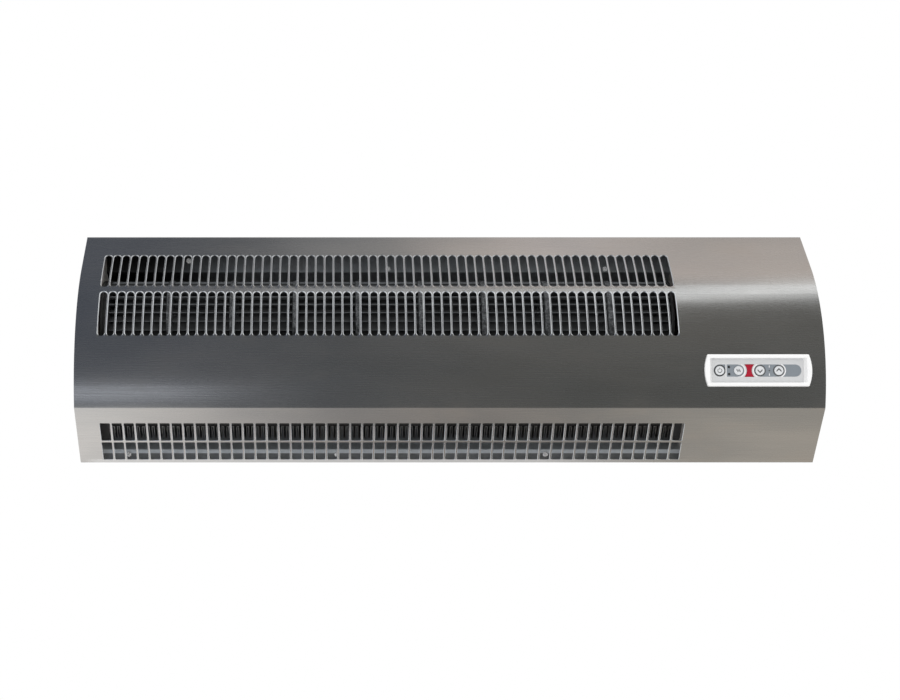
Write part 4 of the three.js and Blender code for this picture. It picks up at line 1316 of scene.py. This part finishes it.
symbols = {
    "button_power": [
        bow((0, 0), 0.0022, 125, 415, 28, button["stroke"]),
        rectangle(0, 0.002, button["stroke"] / 2, 0.0011),
    ],
    "button_heat": [
        bow((x, y), 0.0007, start, start + 180, 10, button["stroke"] * 0.8)
        for x in (-0.0014, 0, 0.0014)
        for y, start in ((0.0007, 90), (-0.0007, -90))
    ],
    "button_down": [chevron(-1)],
    "button_up": [chevron(1)],
}


def makeFascia():
    shape = Shape()
    wide, tall = (size / 2 - panel["gap"] * 0.4 for size in panel["window"])
    holes = [circle(strip["ring"][0], strip["sides"], (x, 0)) for x in buttons.values()]
    loops = [rectangle(0, 0, wide, tall), *holes, *lightHoles, receiverOutline(panel["gap"])]
    plate(shape, loops, *panel["fascia"], onPanel)
    shape.piece("control_fascia", "plate")


def makeFilm():
    shape = Shape()
    half, front, ticks = strip["half"], panel["fascia"][1], strip["ticks"]
    power, heat, down, up = buttons.values()
    edge, edgeHalf = strip["divider"]
    radius, width = strip["arc"]
    inner, outer = strip["ring"]

    def add(tone, rise, *loops):
        plate(shape, loops, front, front + strip["top"] * rise, onPanel, tone)

    def around(middle, side, reach=half):
        return lambda y: middle + side * sqrt(max(reach * reach - y * y, 0))

    def addFilm(left, right, *holes):
        ys = [half * sin(pi / 2 * share) for share in spread(-1, 1, 16)]
        outline = [(right(y), y) for y in ys] + [(left(y), y) for y in ys[::-1]]
        add(0, 1, [p for i, p in enumerate(outline) if dist(p, outline[i - 1]) > tiny], *holes)

    addFilm(around(power, -1), lambda y: edge - edgeHalf, circle(outer, strip["sides"], (power, 0)))
    addFilm(lambda y: edge + edgeHalf, around(heat, -1, outer), *lightHoles)
    addFilm(around(down, 1, outer), around(up, -1, outer))
    addFilm(around(up, 1, radius + width / 2), around(strip["right"] - half, 1))
    for x, tone, rise in ((heat, 0, 1), (down, 1, 1), (up, 1, 1), (power, 3, 1.2)):
        add(tone, rise, *(circle(r, button["sides"], (x, 0)) for r in (outer, inner)))
    for x, facing in ((heat, 0), (down, 180), (up, 0)):
        reach = strip["arcReach"]
        add(2, 1.1, bow((x, 0), radius, facing - reach, facing + reach, 24, width))
    add(2, 1.3, rectangle(edge, 0, edgeHalf, half))
    y, wide, tall = strip["tick"]
    add(2, 1.3, rectangle(ticks, -y, wide, tall))
    add(2, 1.3, rectangle(ticks, y, wide, tall))
    add(1, 1.3, circle(strip["dot"], 16, (ticks, 0)))
    shape.piece("control", "film", filmBlue, ringDark, printWhite, printDark, slot="pale_plastic")


def makeButton(name, x):
    shape = Shape()
    r, e, top, back, flange = (button[key] for key in ("radius", "round", "top", "back", "flange"))
    step, face = back + button["flangeSheet"], top - button["dish"]
    pairs = [(back, 0), (back, flange), (step, flange), (step, r)]
    pairs += [(top - e + e * sin(a), r - e + e * cos(a)) for a in spread(0, pi / 2, 4)]
    pairs += [(face, r * button["dishShare"]), (face, 0)]
    revolve(shape, pairs, onPanel(x, 0, 0), (0, panelOut.x, panelOut.y), button["sides"])
    for outline in symbols[name]:
        placed = [(x + a, b) for a, b in outline]
        plate(shape, [placed], face - button["print"], face + button["print"], onPanel, 1)
    shape.piece(name, "cap", capWhite, printDark)


def makeLens(name, outline):
    shape = Shape()
    (back, front), rise = panel["fascia"], lights["rise"]
    x0, y0 = (sum(values) / len(outline) for values in zip(*outline))
    rings = []
    for share, level in ((1, back), (1, front + rise * 0.3), (0.97, front + rise * 0.7), (0.9, front + rise)):
        rings.append([onPanel(x0 + (x - x0) * share, y0 + (y - y0) * share, level) for x, y in outline])
    shape.loft(rings)
    shape.piece(name, "lens")


makeBezel()
makeFascia()
makeFilm()
for name, x in buttons.items():
    makeButton(name, x)
makeLens("receiver_window", receiverOutline(0))
for name, spot in lightSpots.items():
    makeLens(name, circle(lights["radius"], lights["sides"], spot))
print("control panel made")


class Sky(Look):  # the world, with its own light for each kind of ray
    def __init__(self, name):
        world = bpy.data.worlds.new(name)
        bpy.context.scene.world = world
        world.use_nodes = True
        self.tree = world.node_tree
        self.shader = self.tree.nodes["Background"]


studio = {
    "white": (1, 1, 1),
    "black": (0, 0, 0),
    "plain": (1.02, 1.02, 1.02),  # what falls on matt surfaces
    "cool": (0.12, 0.145, 0.2),   # dim room in front and overhead, as metal shows it
    "warm": (0.195, 0.19, 0.168),
    "across": (-0.14, 0.06),      # where it turns from cool to warm
    "blotch": (0.32, 0.31, 0.3),
    "behind": (0.15, 0.6),        # where the room turns white, behind and beside
    "beside": (0.35, 0.7),
    "floorHalf": 3.0,
    "floorDrop": 2.4,
    "floorMiddle": (0.1, -0.1),
    "floorReach": (2.8, 2.4),
    "floorPale": (0.8, 0.8, 0.8),
    "floorShade": (0.74, 0.74, 0.74),
    "floorSpan": (-1.0, 1.2),     # the floor that the outlet mirrors, across
    "floorTones": (               # half of its light there, from the left to the right
        (0.0, (0.97, 0.95, 0.92)),
        (0.18, (0.85, 0.82, 0.79)),
        (0.255, (0.55, 0.52, 0.495)),
        (0.395, (0.325, 0.3, 0.282)),
        (0.47, (0.257, 0.235, 0.219)),
        (0.67, (0.297, 0.272, 0.246)),
        (0.76, (0.47, 0.435, 0.387)),
        (0.88, (0.51, 0.47, 0.41)),
        (1.0, (0.4, 0.36, 0.31)),
    ),
}


def addWorld():
    sky = Sky("studio")
    x = sky.add("SeparateXYZ", {}, {0: sky.add("TexCoord")})
    behind = sky.mask(x.output(1), *studio["behind"])
    beside = sky.mask(abs(x), *studio["beside"])
    blotches = sky.add("TexNoise", {}, {"Vector": sky.add("TexCoord"), "Scale": 3.2, "Detail": 3})
    dim = sky.mix(sky.mask(x, *studio["across"]), studio["cool"], studio["warm"])
    dim = sky.mix(sky.mask(blotches, 0.4, 0.75) * 0.3, dim, studio["blotch"])
    mirrored = sky.mix(1 - (1 - behind) * (1 - beside), dim, studio["white"])
    camera = sky.add("LightPath")
    glossy, through = camera.output(3), camera.output(6)
    seen = sky.mix(glossy, studio["plain"], mirrored)
    sky.set(Color=sky.mix(camera + through, seen, studio["white"]), Strength=1.0)


lamps = {  # place, aim, width and height, radiance, colour
    "overhead": ((0.64, -0.14, 1.55), (0.64, -0.14, 0), (1.2, 0.9), 0.73, (1.02, 0.9, 0.84)),
    "overheadPink": ((0.33, -0.14, 1.53), (0.33, -0.14, 0), (0.2, 0.9), 0.3, (1.02, 0.94, 0.96)),
    "overheadMiddle": ((-0.09, -0.14, 1.55), (-0.09, -0.14, 0), (0.26, 0.9), 0.32, (1, 0.97, 0.95)),
    "band": ((0.64, -0.82, 1.36), (0.25, -0.12, 0.05), (1.0, 0.32), 2.0, (0.97, 1, 1.02)),
    "bandLeft": ((-0.05, -0.85, 1.34), (-0.05, -0.12, 0.05), (0.4, 0.32), 1.1, (1, 1, 1)),
    "lowLeft": ((-0.56, -1.3, -0.58), (-0.36, -0.15, -0.07), (0.34, 0.26), 1.05, (0.92, 0.97, 1.06)),
    "foldLeft": ((-0.56, -0.66, -0.69), (-0.42, -0.145, -0.08), (0.45, 0.3), 0.8, (1, 0.99, 0.96)),
}


def addLamp(name, place, aim, size, radiance, color):
    data = bpy.data.lights.new(name, "AREA")
    data.shape = "RECTANGLE"
    data.size, data.size_y = size
    data.energy = radiance * pi * size[0] * size[1]
    data.color = color
    lamp = link(name, data)
    lamp.location = place
    lamp.rotation_euler = (Vector(aim) - Vector(place)).to_track_quat("-Z", "Y").to_euler()
    lamp.visible_camera = False


def addFloor():  # a pale floor that fades out into the white background
    half = studio["floorHalf"]
    mesh = bpy.data.meshes.new("floor")
    corners = [(x, y, -studio["floorDrop"]) for x, y in rectangle(0, 0, half, half)]
    mesh.from_pydata(corners, [], [(0, 1, 2, 3)])
    look = Look("floor", Roughness=0.8, Specular_IOR_Level=0.2, Emission_Strength=2.0)
    point = look.add("Mapping", {}, {
        "Vector": look.add("TexCoord", output=3),
        "Location": tuple(-m / r for m, r in zip(studio["floorMiddle"], studio["floorReach"])) + (0,),
        "Scale": tuple(1 / r for r in studio["floorReach"]) + (0,),
    })
    away = look.add("VectorMath", {"operation": "LENGTH"}, {0: point}, output=1)
    shade = look.noise(1.5)
    mirrored = look.add("LightPath").output(3)
    across = look.mask(look.axis(0), *studio["floorSpan"]) + (shade - 0.5) * 0.08
    tones = look.add("ValToRGB", {"stops": studio["floorTones"]}, {"Fac": across})
    base = look.mix(shade, studio["floorShade"], studio["floorPale"])
    look.set(
        Base_Color=look.mix(mirrored, base, studio["black"]),
        Emission_Color=look.mix(mirrored, studio["black"], tones),
        Alpha=1 - look.mask(away, 0.5, 1),
    )
    mesh.materials.append(look.material)
    floor = link("floor", mesh)


addWorld()
addFloor()
for name, values in lamps.items():
    addLamp(name, *values)
bpy.context.scene.view_settings.view_transform = "Standard"
